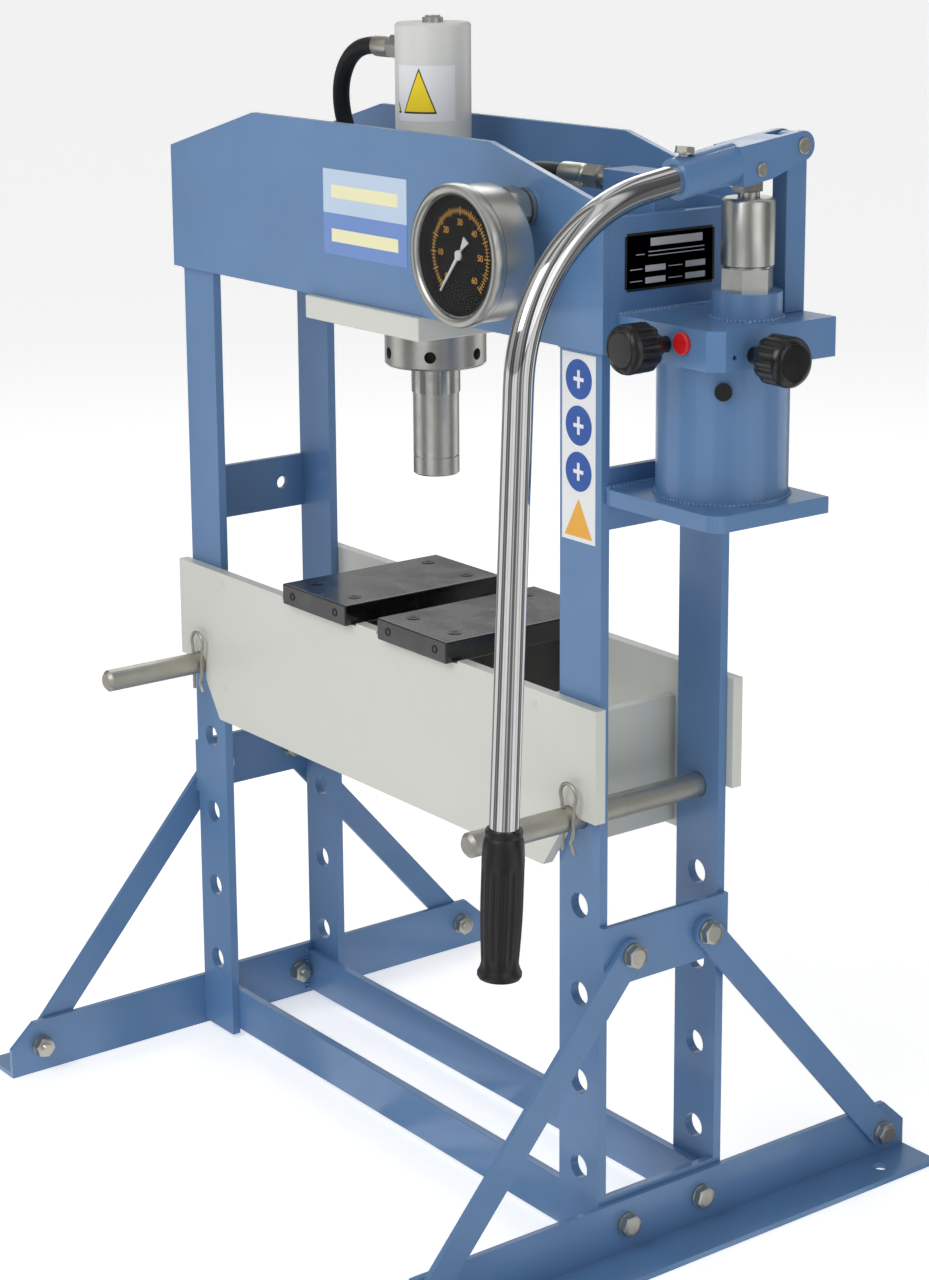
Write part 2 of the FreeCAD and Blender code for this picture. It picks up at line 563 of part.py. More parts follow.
node(turned("piston_seal",
            [("bore_r - seal_deep", "0"), ("bore_r - slide_gap", "0"),
             ("bore_r - slide_gap", "seal_high - seal_low"),
             ("bore_r - seal_deep", "seal_high - seal_low")], ("0", "0", "seal_low")))
nose = turned("nose_turned",
              [("0", "0"), ("nose_r - 1", "0"), ("nose_r", "1"), ("nose_r", "nose_band"),
               ("nose_r - groove_deep", "nose_band"),
               ("nose_r - groove_deep", "nose_band + groove_high"),
               ("nose_r", "nose_band + groove_high"), ("nose_r", "ram_low - nose_low"),
               ("spigot_r", "ram_low - nose_low"), ("spigot_r", "ram_low - nose_low - spigot_deep"),
               ("0", "ram_low - nose_low - spigot_deep")], ("0", "0", "nose_low"))
node(cut("ram_nose", nose, rod("grub_hole", "grub_r", "nose_r", ("-nose_r - 1", "0", "ram_low - 14"), "X")))
node(turned("return_spring",
            [("spring_r - spring_wall", "0"), ("spring_r", "0"),
             ("spring_r", "cyl_top - cyl_roof - ram_bore_low - 2 * spring_gap"),
             ("spring_r - spring_wall", "cyl_top - cyl_roof - ram_bore_low - 2 * spring_gap")],
            ("0", "0", "ram_bore_low + spring_gap")))

# ---------------------------------------------------------------- hose and its ends


def hose_path(points):
    """Straight runs joined by tangent arcs; prints the tightest radius."""
    points = [FreeCAD.Vector(*p) for p in points]
    edges, radii, start = [], [], points[0]
    shared, whole = 0.48, 0.9  # how much of a run a bend may take, between bends and at the ends
    for i, (before, corner, after) in enumerate(zip(points, points[1:], points[2:])):
        into, out = corner - before, after - corner
        half = into.getAngle(out) / 2
        reach = min(into.Length * (shared if i else whole),
                    out.Length * (shared if i < len(points) - 3 else whole))
        radii.append(reach / math.tan(half))
        first = corner - into.normalize() * reach
        last = corner + out.normalize() * reach
        chord = (first + last) * 0.5
        bulge = corner - chord
        middle = corner - bulge.normalize() * radii[-1] * (1 / math.cos(half) - 1)
        edges.append(Part.LineSegment(start, first).toShape())
        edges.append(Part.Arc(first, middle, last).toShape())
        start = last
    edges.append(Part.LineSegment(start, points[-1]).toShape())
    print("hose radii", [round(r) for r in radii])
    return Part.Wire(edges)


def tube_along(wire, radius):
    """A round bar swept along a wire."""
    start = wire.Edges[0].valueAt(wire.Edges[0].FirstParameter)
    heading = wire.Edges[0].tangentAt(wire.Edges[0].FirstParameter)
    ring = Part.Wire(Part.Circle(start, heading, radius).toShape())
    return wire.makePipeShell([ring], True, False)


hose_wire = hose_path(HOSE_ROUTE)
hose = doc.addObject("Part::Feature", "hose")
hose.Label = "hose"
hose.Shape = tube_along(hose_wire, cell("hose_r"))
volumes["hose"] = math.pi * cell("hose_r") ** 2 * hose_wire.Length
node(hose)

left_end = fuse("hose_end_left",
                rod("ferrule_left", "ferrule_r", "hose_nut_left_x - hose_start_x",
                    ("hose_start_x", "0", "port_z"), "X"),
                prism("hose_nut_left", "hose_nut_r", "hose_nut_long",
                      ("hose_nut_left_x", "0", "port_z"), "X"),
                rod("hose_stem_left", "port_r", "10 - cyl_r - hose_nut_left_x",
                    ("hose_nut_left_x", "0", "port_z"), "X"))
right_end = fuse("hose_end_right",
                 rod("ferrule_right", "ferrule_r", "hose_nut_right_x - hose_end_x",
                     ("hose_end_x", "0", "hose_end_z"), "X"),
                 prism("hose_nut_right", "hose_nut_r", "hose_nut_long",
                       ("hose_nut_right_x", "0", "hose_end_z"), "X"),
                 rod("hose_stem_right", "hose_stem_r", "port_block_x - hose_nut_right_x",
                     ("hose_nut_right_x", "0", "hose_end_z"), "X"))
node(group("hose_ends", left_end, right_end))

# ---------------------------------------------------------------- pressure gauge
CASE_LONG = "(gauge_front - gauge_back)"
GAUGE_AT = ("gauge_x", "-gauge_back", "gauge_z")
# turned along +Y and then flipped, so that heights grow from the case's back to its glass
TURNS["-Y"] = FreeCAD.Rotation(X_AXIS, 90)
node(turned("gauge_case",
            [("0", "0"), ("case_r - 4", "0"), ("case_r", "4"),
             ("case_r", f"{CASE_LONG} - bezel_high"), ("bezel_r - 1", f"{CASE_LONG} - bezel_high"),
             ("bezel_r", f"{CASE_LONG} - bezel_high + 1"), ("bezel_r", f"{CASE_LONG} - 2"),
             ("bezel_r - 2", CASE_LONG), ("case_r - bezel_lip", CASE_LONG),
             ("case_r - bezel_lip", f"{CASE_LONG} - lens_step"),
             ("case_r - case_wall", f"{CASE_LONG} - lens_step"), ("case_r - case_wall", "5"),
             ("case_r - 5", "case_wall"), ("0", "case_wall")], GAUGE_AT, "-Y"))
node(rod("gauge_lens", "case_r - case_wall - 0.1", "lens_thick",
         ("gauge_x", "-gauge_front + lens_step + lens_thick", "gauge_z"), "-Y"))
node(rod("gauge_dial", "case_r - case_wall - 0.1", "dial_thick",
         ("gauge_x", "-gauge_front + dial_depth + dial_thick", "gauge_z"), "-Y"))
POINTER_Y = "-gauge_front + dial_depth - pointer_rise"
needle = box("needle", ("-pointer_wide / 2", "0", "-pointer_tail"),
             ("pointer_wide / 2", "pointer_thick", "pointer_long"))
hub = rod("needle_hub", "pointer_hub_r", "pointer_rise - fit_gap", ("0", "0", "0"), "Y")
pointer = fuse("pointer_blank", needle, hub)
node(turned_copy("gauge_pointer", pointer, ("gauge_x", POINTER_Y, "gauge_z"),
                 FreeCAD.Rotation(Y_AXIS, -142)))
adapter = fuse("gauge_adapter",
               prism("gauge_hex", "gauge_hex_r", "gauge_hex_long",
                     ("gauge_port_x", "-gauge_back", "gauge_port_z"), "Y"),
               rod("gauge_collar", "gauge_stem_r + 4", "gauge_back - bar_face - beam_thick",
                   ("gauge_port_x", "-gauge_back", "gauge_port_z"), "Y"),
               rod("gauge_stem", "gauge_stem_r", "gauge_back - gauge_stem_back",
                   ("gauge_port_x", "-gauge_back", "gauge_port_z"), "Y"))
back_nut = cut("gauge_back_nut",
               prism("back_nut", "back_nut_r", "back_nut_high",
                     ("gauge_port_x", "-bar_face", "gauge_port_z"), "Y"),
               rod("back_nut_bore", "gauge_stem_r", "2 * back_nut_high",
                   ("gauge_port_x", "-bar_face - 0.5 * back_nut_high", "gauge_port_z"), "Y"))
line_start = FreeCAD.Vector(cell("gauge_port_x"), -cell("gauge_stem_back"), cell("gauge_port_z"))
line_corner = FreeCAD.Vector(cell("gauge_port_x"), cell("line_y"), cell("gauge_port_z"))
line_end = FreeCAD.Vector(cell("port_block_x"), cell("line_y"), cell("gauge_port_z"))
bend = cell("line_bend")
bend_in = line_corner - Y_AXIS * bend
bend_out = line_corner + X_AXIS * bend
bend_mid = line_corner + (X_AXIS - Y_AXIS) * bend * (1 - math.sqrt(0.5))
gauge_wire = Part.Wire([Part.LineSegment(line_start, bend_in).toShape(),
                        Part.Arc(bend_in, bend_mid, bend_out).toShape(),
                        Part.LineSegment(bend_out, line_end).toShape()])
gauge_pipe = doc.addObject("Part::Feature", "gauge_pipe")
gauge_pipe.Shape = tube_along(gauge_wire, cell("line_r"))
node(group("gauge_line", adapter, back_nut, gauge_pipe))

# ---------------------------------------------------------------- pump bracket, block, tank
bracket = fuse("bracket_blank",
               box("bracket_plate", ("half_width", "-bar_face", "beam_low"),
                   ("beam_half", "bar_face", "bracket_top")),
               box("port_block", ("port_block_x", "-port_block_half", "port_block_low"),
                   ("half_width", "port_block_half", "port_block_high")))
node(bracket, "pump_bracket")

block = padded("block_plate", "XY_Plane",
               [("0", "0"), ("block_end_x - beam_half - block_chamfer", "0"),
                ("block_end_x - beam_half", "block_chamfer"),
                ("block_end_x - beam_half", "block_front + block_back"),
                ("0", "block_front + block_back")],
               "block_high - block_low", ("beam_half", "-block_front", "block_low"))
collar = rod("pump_collar", "collar_r", "collar_high", ("pump_x", "pump_y", "block_high"))
node(cut("pump_block", fuse("block_blank", block, collar),
         rod("barrel_seat", "spigot_pump_r", "barrel_low", ("pump_x", "pump_y", "barrel_low")),
         rod("release_bore", "stem_r + slide_gap", "stem_deep + 2",
             ("release_x", "-block_front - 1", "release_z"), "Y"),
         rod("valve_bore", "stem_r + slide_gap", "stem_deep + 2",
             ("block_end_x - stem_deep - 1", "valve_y", "valve_z"), "X"),
         rod("vent_bore", "vent_stem_r + slide_gap", "vent_deep + 2",
             ("vent_x", "-block_front - 1", "vent_z"), "Y"),
         rod("pilot_bore", "pilot_r", "pilot_deep + 2",
             ("block_end_x - pilot_deep", "pilot_y", "valve_z"), "X")))

TANK_LONG = "(block_low - base_high)"
tank = turned("tank_turned",
              [("tank_r - tank_wall", "0"), ("tank_r", "0"), ("tank_r", TANK_LONG),
               ("tank_r - tank_wall", TANK_LONG)], ("tank_x", "0", "base_high"))
drain_way = FreeCAD.Rotation(Z_AXIS, cell("drain_turn"))


def radial(label, piece, out, z):
    """Turn a piece that lies along X to the drain plug's direction on the reservoir."""
    spot = drain_way.multVec(FreeCAD.Vector(out, 0, 0))
    return turned_copy(label, piece, (f"tank_x + {spot.x!r}", repr(spot.y), z), drain_way)


drain_drill = radial("drain_drill", rod("drain_rod", "drain_stem_r", "3 * tank_wall",
                                        ("0", "0", "0"), "X"),
                     cell("tank_r") - 2 * cell("tank_wall"), "drain_z")
node(cut("oil_reservoir", tank, drain_drill))
plug = fuse("plug_blank", rod("plug_stem", "drain_stem_r", "tank_wall + 1", ("0", "0", "0"), "X"),
            rod("plug_head", "drain_r", "drain_head", ("tank_wall + 0.5", "0", "0"), "X"))
node(radial("drain_plug", plug, cell("tank_r") - cell("tank_wall"), "drain_z"))

node(padded("pump_base", "XY_Plane",
            [("0", "0"), ("base_end_x - half_width - base_corner", "0"),
             ("base_end_x - half_width - 0.3 * base_corner", "0.3 * base_corner"),
             ("base_end_x - half_width", "base_corner"),
             ("base_end_x - half_width", "base_front + base_back"),
             ("0", "base_front + base_back")],
            "base_high - base_low", ("half_width", "-base_front", "base_low")))

barrel_blank = turned("barrel_turned",
                      [("plunger_r + slide_gap", "0"), ("spigot_pump_r", "0"),
                       ("spigot_pump_r", "barrel_hex_low - barrel_low"),
                       ("barrel_hex_r * 0.9", "barrel_hex_low - barrel_low"),
                       ("barrel_hex_r * 0.9", "barrel_round_low - barrel_low"),
                       ("barrel_r", "barrel_round_low - barrel_low"),
                       ("barrel_r", "barrel_top - barrel_chamfer - barrel_low"),
                       ("barrel_r - barrel_chamfer", "barrel_top - barrel_low"),
                       ("plunger_r + slide_gap", "barrel_top - barrel_low")],
                      ("pump_x", "pump_y", "barrel_low"))
hex_band = cut("hex_band",
               prism("hex_blank", "barrel_hex_r", "barrel_round_low - barrel_hex_low",
                     ("pump_x", "pump_y", "barrel_hex_low")),
               rod("hex_bore", "plunger_r + slide_gap", "barrel_top",
                   ("pump_x", "pump_y", "barrel_low - 10")))
node(fuse("pump_barrel", barrel_blank, hex_band))

EYE_Y = "(pivot_y - plunger_pin_dy)"
EYE_Z = "(pivot_z - plunger_pin_dz)"
plunger_blank = fuse("plunger_blank",
                     rod("plunger_rod", "plunger_r", "plunger_shoulder - plunger_low",
                         ("pump_x", "pump_y", "plunger_low")),
                     box("plunger_eye",
                         ("pump_x - eye_half_x", f"{EYE_Y} - eye_front", "plunger_shoulder"),
                         ("pump_x + eye_half_x", f"{EYE_Y} + eye_back", f"{EYE_Z} + eye_high")))
node(cut("pump_plunger", plunger_blank,
         box("plunger_slot",
             ("pump_x - 2 * eye_half_x", f"{EYE_Y} - slot_front", f"{EYE_Z} - slot_half_z"),
             ("pump_x + 2 * eye_half_x", f"{EYE_Y} + slot_back", f"{EYE_Z} + slot_half_z"))))

# ---------------------------------------------------------------- valve knobs and vent plug
node(fuse("release_knob",
          rod("release_stem", "stem_r", "stem_deep + knob_gap",
              ("release_x", "-block_front - knob_gap", "release_z"), "Y"),
          rod("release_grip", "knob_r", "knob_long",
              ("release_x", "-block_front - knob_gap - knob_long", "release_z"), "Y")))
node(fuse("valve_knob",
          rod("valve_stem", "stem_r", "stem_deep + knob_gap",
              ("block_end_x - stem_deep", "valve_y", "valve_z"), "X"),
          rod("valve_grip", "knob_r", "knob_long",
              ("block_end_x + knob_gap", "valve_y", "valve_z"), "X")))
node(fuse("vent_plug",
          rod("vent_stem", "vent_stem_r", "vent_deep", ("vent_x", "-block_front", "vent_z"), "Y"),
          rod("vent_head_rod", "vent_r", "vent_head",
              ("vent_x", "-block_front - vent_head - fit_gap", "vent_z"), "Y"),
          rod("vent_neck", "vent_stem_r", "vent_head",
              ("vent_x", "-block_front - vent_head", "vent_z"), "Y")))

# ---------------------------------------------------------------- lever
post = fuse("post_blank",
            box("post_bar", ("pump_x - post_half_x", "pivot_y - post_half_y", "block_high"),
                ("pump_x + post_half_x", "pivot_y + post_half_y", "pivot_z")),
            rod("post_top", "post_half_y", "2 * post_half_x",
                ("pump_x - post_half_x", "pivot_y", "pivot_z"), "X"))
node(cut("lever_post", post,
         rod("post_bore", "pivot_r + slide_gap", "4 * post_half_x",
             ("pump_x - 2 * post_half_x", "pivot_y", "pivot_z"), "X")))

HEAD_HALF = "(post_half_x + cheek_gap + cheek_thick)"


def lever_pin(name, radius, at):
    """A pin through both cheeks with a thin round head at each end."""
    return fuse(name,
                rod(name + "_shank", radius, f"2 * {HEAD_HALF}", (f"pump_x - {HEAD_HALF}", *at), "X"),
                rod(name + "_head_a", f"{radius} + 1.2", "pin_head",
                    (f"pump_x - {HEAD_HALF} - pin_head", *at), "X"),
                rod(name + "_head_b", f"{radius} + 1.2", "pin_head",
                    (f"pump_x + {HEAD_HALF}", *at), "X"))


node(lever_pin("lever_pivot_pin", "pivot_r", ("pivot_y", "pivot_z")))
node(lever_pin("plunger_pin", "plunger_pin_r", (EYE_Y, EYE_Z)))

# The lever's head is built with the pivot at its origin, u along local Y away from the pivot and w
# along local Z, then turned to point to the front and down by lever_tilt.
tilt = cell("lever_tilt")
HEAD_TURN = FreeCAD.Rotation(Z_AXIS, 180) * FreeCAD.Rotation(X_AXIS, -tilt)
HEAD_AT = ("pump_x", "pivot_y", "pivot_z")
sin_t, cos_t = math.sin(math.radians(tilt)), math.cos(math.radians(tilt))
pin_u = cell("plunger_pin_dy") * cos_t + cell("plunger_pin_dz") * sin_t
pin_w = cell("plunger_pin_dy") * sin_t - cell("plunger_pin_dz") * cos_t
cheek_profile = padded("cheek_profile", "YZ_Plane",
                       [("0", "0"), ("cheek_front", "cheek_back_r - cheek_low + 12"),
                        ("cheek_front", "cheek_back_r + cheek_high"), ("0", "2 * cheek_back_r")],
                       f"2 * {HEAD_HALF}", ("0", "0", "0"))
cheeks = turned_copy("cheek_blank", cheek_profile, (f"-{HEAD_HALF}", "0", "-cheek_back_r"),
                     FreeCAD.Rotation(Z_AXIS, 0))
belly = padded("belly_profile", "YZ_Plane",
               [("0", "cheek_low - cheek_back_r"), ("cheek_front * 0.55", "0"),
                ("cheek_front", "0"), ("cheek_front", "2 * cheek_low - cheek_back_r")],
               f"2 * {HEAD_HALF}", (f"-{HEAD_HALF}", "0", "-cheek_low"))
head_solid = fuse("head_solid", cheeks, belly,
                  rod("head_back", "cheek_back_r", f"2 * {HEAD_HALF}", (f"-{HEAD_HALF}", "0", "0"), "X"),
                  rod("socket_out", "socket_r", "socket_end - cheek_front + 2",
                      ("0", "cheek_front - 2", "0"), "Y"))
channel = box("channel_low", ("-post_half_x - cheek_gap", "-2 * cheek_back_r", "-2 * cheek_low"),
              ("post_half_x + cheek_gap", "cheek_front - 2", "cheek_high - 5"))
channel_back = box("channel_back", ("-post_half_x - cheek_gap", "-2 * cheek_back_r", "-cheek_low"),
                   ("post_half_x + cheek_gap", "web_start", "2 * cheek_high"))
head_cut = cut("head_cut", head_solid, channel, channel_back,
               rod("socket_bore", "tube_r + socket_gap", "socket_end", ("0", "cheek_front", "0"), "Y"),
               rod("pivot_bore", "pivot_r + slide_gap", f"4 * {HEAD_HALF}", (f"-2 * {HEAD_HALF}", "0", "0"), "X"),
               rod("plunger_bore", "plunger_pin_r + slide_gap", f"4 * {HEAD_HALF}",
                   (f"-2 * {HEAD_HALF}", repr(pin_u), repr(pin_w)), "X"),
               rod("set_bolt_bore", "set_bolt_r", "2 * socket_r", ("0", "set_bolt_u", "5")))
node(turned_copy("lever_head", head_cut, HEAD_AT, HEAD_TURN))
set_bolt = fuse("set_bolt_blank",
                prism("set_bolt_hex", "set_bolt_hex_r", "set_bolt_head", ("0", "set_bolt_u", "socket_r")),
                rod("set_bolt_shank", "set_bolt_r", "socket_r - tube_r - socket_gap",
                    ("0", "set_bolt_u", "tube_r + socket_gap")))
node(turned_copy("lever_set_bolt", set_bolt, HEAD_AT, HEAD_TURN))

pivot = FreeCAD.Vector(cell("pump_x"), cell("pivot_y"), cell("pivot_z"))
along = FreeCAD.Vector(0, -cos_t, -sin_t)
under = FreeCAD.Vector(0, sin_t, -cos_t)
lean = math.radians(cell("lever_lean"))
tube_from = pivot + along * cell("tube_start")
arc_from = pivot + along * cell("bend_start")
arc_centre = arc_from + under * cell("bend_r")
arc_to = arc_centre + FreeCAD.Vector(0, -math.cos(lean), math.sin(lean)) * cell("bend_r")
half_way = ((arc_from - arc_centre) + (arc_to - arc_centre)).normalize() * cell("bend_r")
down = FreeCAD.Vector(0, -math.sin(lean), -math.cos(lean))


def down_to(z):
    """The point of the lever's straight lower part at a height."""
    return arc_to + down * ((arc_to.z - z) / -down.z)


tube_to = down_to(cell("grip_low_z") + cell("grip_flange"))
lever_wire = Part.Wire([Part.LineSegment(tube_from, arc_from).toShape(),
                        Part.Arc(arc_from, arc_centre + half_way, arc_to).toShape(),
                        Part.LineSegment(arc_to, tube_to).toShape()])
lever_tube = doc.addObject("Part::Feature", "lever_tube")
lever_tube.Label = "lever_tube"
lever_tube.Shape = tube_along(lever_wire, cell("tube_r")).cut(
    tube_along(lever_wire, cell("tube_r") - cell("tube_wall")))
node(lever_tube)

GRIP_LONG = "(grip_high_z - grip_low_z)"
grip = turned("grip_turned",
              [("0", "0"), ("grip_flange_r", "0"), ("grip_flange_r", "grip_flange"),
               ("grip_r", "grip_flange"), ("grip_r", f"{GRIP_LONG} - grip_flange"),
               ("grip_flange_r", f"{GRIP_LONG} - grip_flange"), ("grip_flange_r", GRIP_LONG),
               ("tube_r + slide_gap", GRIP_LONG), ("tube_r + slide_gap", "grip_flange"), ("0", "grip_flange")],
              ("0", "0", "0"))
grip_foot = down_to(cell("grip_low_z"))
node(turned_copy("lever_grip", grip, ("pump_x", repr(grip_foot.y), "grip_low_z"),
                 FreeCAD.Rotation(X_AXIS, -cell("lever_lean"))))

# ---------------------------------------------------------------- bed
HEEL = "(bed_half + half_width - bar_width / 2 - pin_r - pin_gap)"
HEEL_LEFT = "(bed_half - half_width + bar_width / 2 + pin_r + pin_gap)"
BED_CORNERS = [
    ("0", "bed_end_low - bed_low"), (HEEL_LEFT, "bed_end_low - bed_low"),
    (HEEL_LEFT, "bed_heel_z - bed_low"), ("bed_half - bed_low_half", "0"),
    ("bed_half + bed_low_half", "0"), (HEEL, "bed_heel_z - bed_low"),
    (HEEL, "bed_end_low - bed_low"), ("2 * bed_half", "bed_end_low - bed_low"),
    ("2 * bed_half", "bed_top - bed_low"),
    ("bed_half + pocket_outer", "bed_top - bed_low"),
    ("bed_half + pocket_outer", "bed_top - bed_low - pocket_deep"),
    ("bed_half + pocket_inner", "bed_top - bed_low - pocket_deep"),
    ("bed_half + pocket_inner", "bed_top - bed_low"),
    ("bed_half - pocket_inner", "bed_top - bed_low"),
    ("bed_half - pocket_inner", "bed_top - bed_low - pocket_deep"),
    ("bed_half - pocket_outer", "bed_top - bed_low - pocket_deep"),
    ("bed_half - pocket_outer", "bed_top - bed_low"), ("0", "bed_top - bed_low"),
]
PIN_Z = "(hole_first + hole_pitch * pin_level)"
BED_NOTCHES = [("bed_half + half_width - bar_width / 2", f"{PIN_Z} - bed_low", "pin_r + pin_gap"),
               ("bed_half - half_width + bar_width / 2", f"{PIN_Z} - bed_low", "pin_r + pin_gap")]
for name, face_y in (("bed_plate_front", "-bar_face - bed_gap"),
                     ("bed_plate_back", "bar_face + bed_gap + bed_thick")):
    plate = padded(name, "XZ_Plane", BED_CORNERS, "bed_thick", ("-bed_half", face_y, "bed_low"))
    bored(plate, "XZ_Plane", BED_NOTCHES, "Notches")
    node(plate)
node(group("bed_cross_plates",
           *[box(f"bed_cross_{n}", (low_x, "-bar_face - bed_gap", "cross_low"),
                 (f"{low_x} + cross_thick", "bar_face + bed_gap", "cross_high"))
             for n, low_x in enumerate(("-cross_x - cross_thick", "cross_x"))]))

SEAT_Z = "(bed_top - pocket_deep)"
for name, centre in (("press_block_left", "left_block_x"), ("press_block_right", "right_block_x")):
    top = box(name + "_top", (f"{centre} - press_block_wide / 2", "-press_block_half", SEAT_Z),
              (f"{centre} + press_block_wide / 2", "press_block_half",
               f"{SEAT_Z} + press_block_high"))
    lug = box(name + "_lug", (f"{centre} - lug_half_x", "-lug_half_y", f"{SEAT_Z} - lug_deep"),
              (f"{centre} + lug_half_x", "lug_half_y", SEAT_Z))
    node(fuse(name, top, lug))

# ---------------------------------------------------------------- support pins and clips


def clip_shape(x, z):
    """A spring clip: a straight leg through the pin, a round eye and a second leg outside the pin."""
    eye, eye_z, tail = cell("clip_eye_r"), cell("clip_eye_z"), cell("clip_tail_z")
    flare = cell("clip_flare")

    def at(dx, dz):
        return FreeCAD.Vector(x + dx, cell("clip_y"), z + dz)

    turn = math.radians(40)
    low, high, top = at(0, -cell("clip_leg")), at(0, eye_z), at(eye, eye_z + eye)
    far, knee = at(2 * eye, eye_z), at(2 * eye, -tail)
    lip = at(2 * eye + flare * (1 - math.cos(turn)), -tail - flare * math.sin(turn))
    lip_mid = at(2 * eye + flare * (1 - math.cos(turn / 2)), -tail - flare * math.sin(turn / 2))
    return tube_along(Part.Wire([Part.LineSegment(low, high).toShape(),
                                 Part.Arc(high, top, far).toShape(),
                                 Part.LineSegment(far, knee).toShape(),
                                 Part.Arc(knee, lip_mid, lip).toShape()]), cell("clip_r"))


for side, side_name in ((-1, "left"), (1, "right")):
    x = "half_width - bar_width / 2" if side > 0 else "-half_width + bar_width / 2"
    blank = turned(f"support_pin_blank_{side_name}",
                   [("0", "0"), ("pin_r - pin_chamfer", "0"), ("pin_r", "pin_chamfer"),
                    ("pin_r", "pin_front + pin_back - pin_chamfer"),
                    ("pin_r - pin_chamfer", "pin_front + pin_back"), ("0", "pin_front + pin_back")],
                   (x, "-pin_front", PIN_Z), "Y")
    node(cut(f"support_pin_{side_name}", blank,
             rod(f"clip_hole_{side_name}", "clip_r + clip_gap", "4 * pin_r",
                 (x, "clip_y", f"{PIN_Z} - 2 * pin_r"))))
    clip = doc.addObject("Part::Feature", f"pin_clip_{side_name}")
    clip.Label = f"pin_clip_{side_name}"
    clip.Shape = clip_shape(side * (cell("half_width") - cell("bar_width") / 2),
                            cell("hole_first") + cell("hole_pitch") * cell("pin_level"))
    node(clip)

# ---------------------------------------------------------------- check and write
doc.recompute()
for thing in doc.Objects:
    if {"Invalid", "Error"} & set(thing.State):
        raise RuntimeError(f"{thing.Label} failed: {thing.State}")
for name, piece in nodes.items():
    shape = piece.Shape
    if shape.isNull() or not shape.isValid() or not shape.Solids:
        raise RuntimeError(f"{name} has no valid solid")
hose_ratio = nodes["hose"].Shape.Volume / volumes["hose"]
if abs(hose_ratio - 1) > 0.01:
    raise RuntimeError(f"the hose's volume is {hose_ratio:.3f} of its section times its length")
print(f"hose length {hose_wire.Length:.0f} mm, {len(nodes)} nodes")
os.makedirs("parts", exist_ok=True)
for name, piece in nodes.items():
    piece.Shape.exportStep(f"parts/{name}.step")
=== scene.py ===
"""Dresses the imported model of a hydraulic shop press: painted bars, turned steel, chrome, gauge,
hose, pump and lever, on a plain stage. Lengths in the helpers are millimetres; meshes are metres.
"""
import json
from math import cos, pi, radians, sin

import bmesh
import bpy
from mathutils import Matrix, Vector

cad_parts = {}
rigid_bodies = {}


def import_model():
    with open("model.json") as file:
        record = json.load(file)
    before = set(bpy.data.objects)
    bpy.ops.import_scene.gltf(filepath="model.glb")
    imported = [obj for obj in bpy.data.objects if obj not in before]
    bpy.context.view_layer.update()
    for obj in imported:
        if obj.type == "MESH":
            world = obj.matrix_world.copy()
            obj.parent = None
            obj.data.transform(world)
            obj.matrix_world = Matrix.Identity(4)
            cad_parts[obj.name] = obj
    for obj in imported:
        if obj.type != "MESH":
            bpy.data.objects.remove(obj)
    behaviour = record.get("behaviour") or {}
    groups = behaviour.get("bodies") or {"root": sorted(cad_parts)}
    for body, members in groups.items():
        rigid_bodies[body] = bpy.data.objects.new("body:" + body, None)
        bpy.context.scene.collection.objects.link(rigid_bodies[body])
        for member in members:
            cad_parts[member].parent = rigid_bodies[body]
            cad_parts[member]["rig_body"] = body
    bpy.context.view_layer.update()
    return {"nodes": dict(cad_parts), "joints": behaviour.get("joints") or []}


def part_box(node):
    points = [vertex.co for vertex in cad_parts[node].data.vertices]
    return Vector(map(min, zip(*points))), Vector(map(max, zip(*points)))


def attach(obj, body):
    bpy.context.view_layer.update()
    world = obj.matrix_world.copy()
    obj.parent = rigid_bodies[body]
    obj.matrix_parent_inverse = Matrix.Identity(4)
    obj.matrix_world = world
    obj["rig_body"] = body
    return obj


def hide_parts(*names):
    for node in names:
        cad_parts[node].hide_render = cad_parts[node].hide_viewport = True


bl_info = {
    "name": "Hydraulic shop press",
    "version": (1, 0, 0),
    "blender": (4, 5, 0),
    "location": "View3D > Sidebar > Shop press",
    "description": "Finishes the shop press and sets its stage",
    "category": "Object",
}

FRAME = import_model()
NODES = FRAME["nodes"]
MM = 0.001
TAU = 2 * pi
X, Y, Z = Vector((1, 0, 0)), Vector((0, 1, 0)), Vector((0, 0, 1))


# ------------------------------------------------------------------ settings
def srgb(red, green, blue):
    """A linear colour from a display colour in 0..255."""
    def lin(v):
        v /= 255
        return v / 12.92 if v <= 0.04045 else ((v + 0.055) / 1.055) ** 2.4
    return lin(red), lin(green), lin(blue)


def colour_prop(name, about, rgb):
    """A colour setting, from a display colour in 0..255."""
    return bpy.props.FloatVectorProperty(name=name, description=about, subtype="COLOR", size=3,
                                         min=0, max=1, default=srgb(*rgb))


def length_prop(name, about, millimetres):
    """A length setting, from millimetres."""
    return bpy.props.FloatProperty(name=name, description=about, subtype="DISTANCE",
                                   unit="LENGTH", min=0, default=millimetres * MM)


class PressColours(bpy.types.PropertyGroup):
    """The press's colours"""
    frame: colour_prop("Frame", "Paint of the frame, pump and lever head", (92, 131, 177))
    bed: colour_prop("Bed", "Paint of the bed and the ram's mounting plate", (212, 214, 206))
    cylinder: colour_prop("Cylinder", "Paint of the cylinder", (220, 221, 216))
    blocks: colour_prop("Press blocks", "Paint of the press blocks", (14, 14, 16))
    zinc: colour_prop("Zinc", "Plating of the bolts and pins", (196, 194, 184))
    steel: colour_prop("Turned steel", "Bare turned steel", (200, 200, 195))
    chrome: colour_prop("Chrome", "Plating of the lever", (214, 214, 214))
    rubber: colour_prop("Rubber", "Hose and grip", (22, 22, 23))
    plastic: colour_prop("Plastic", "Valve knobs", (20, 20, 21))
    vent: colour_prop("Vent plug", "The tank's vent plug", (214, 30, 34))
    badge: colour_prop("Badge", "Field of the badge", (112, 146, 208))
    scale: colour_prop("Gauge scale", "Printing of the gauge's scale", (238, 172, 52))


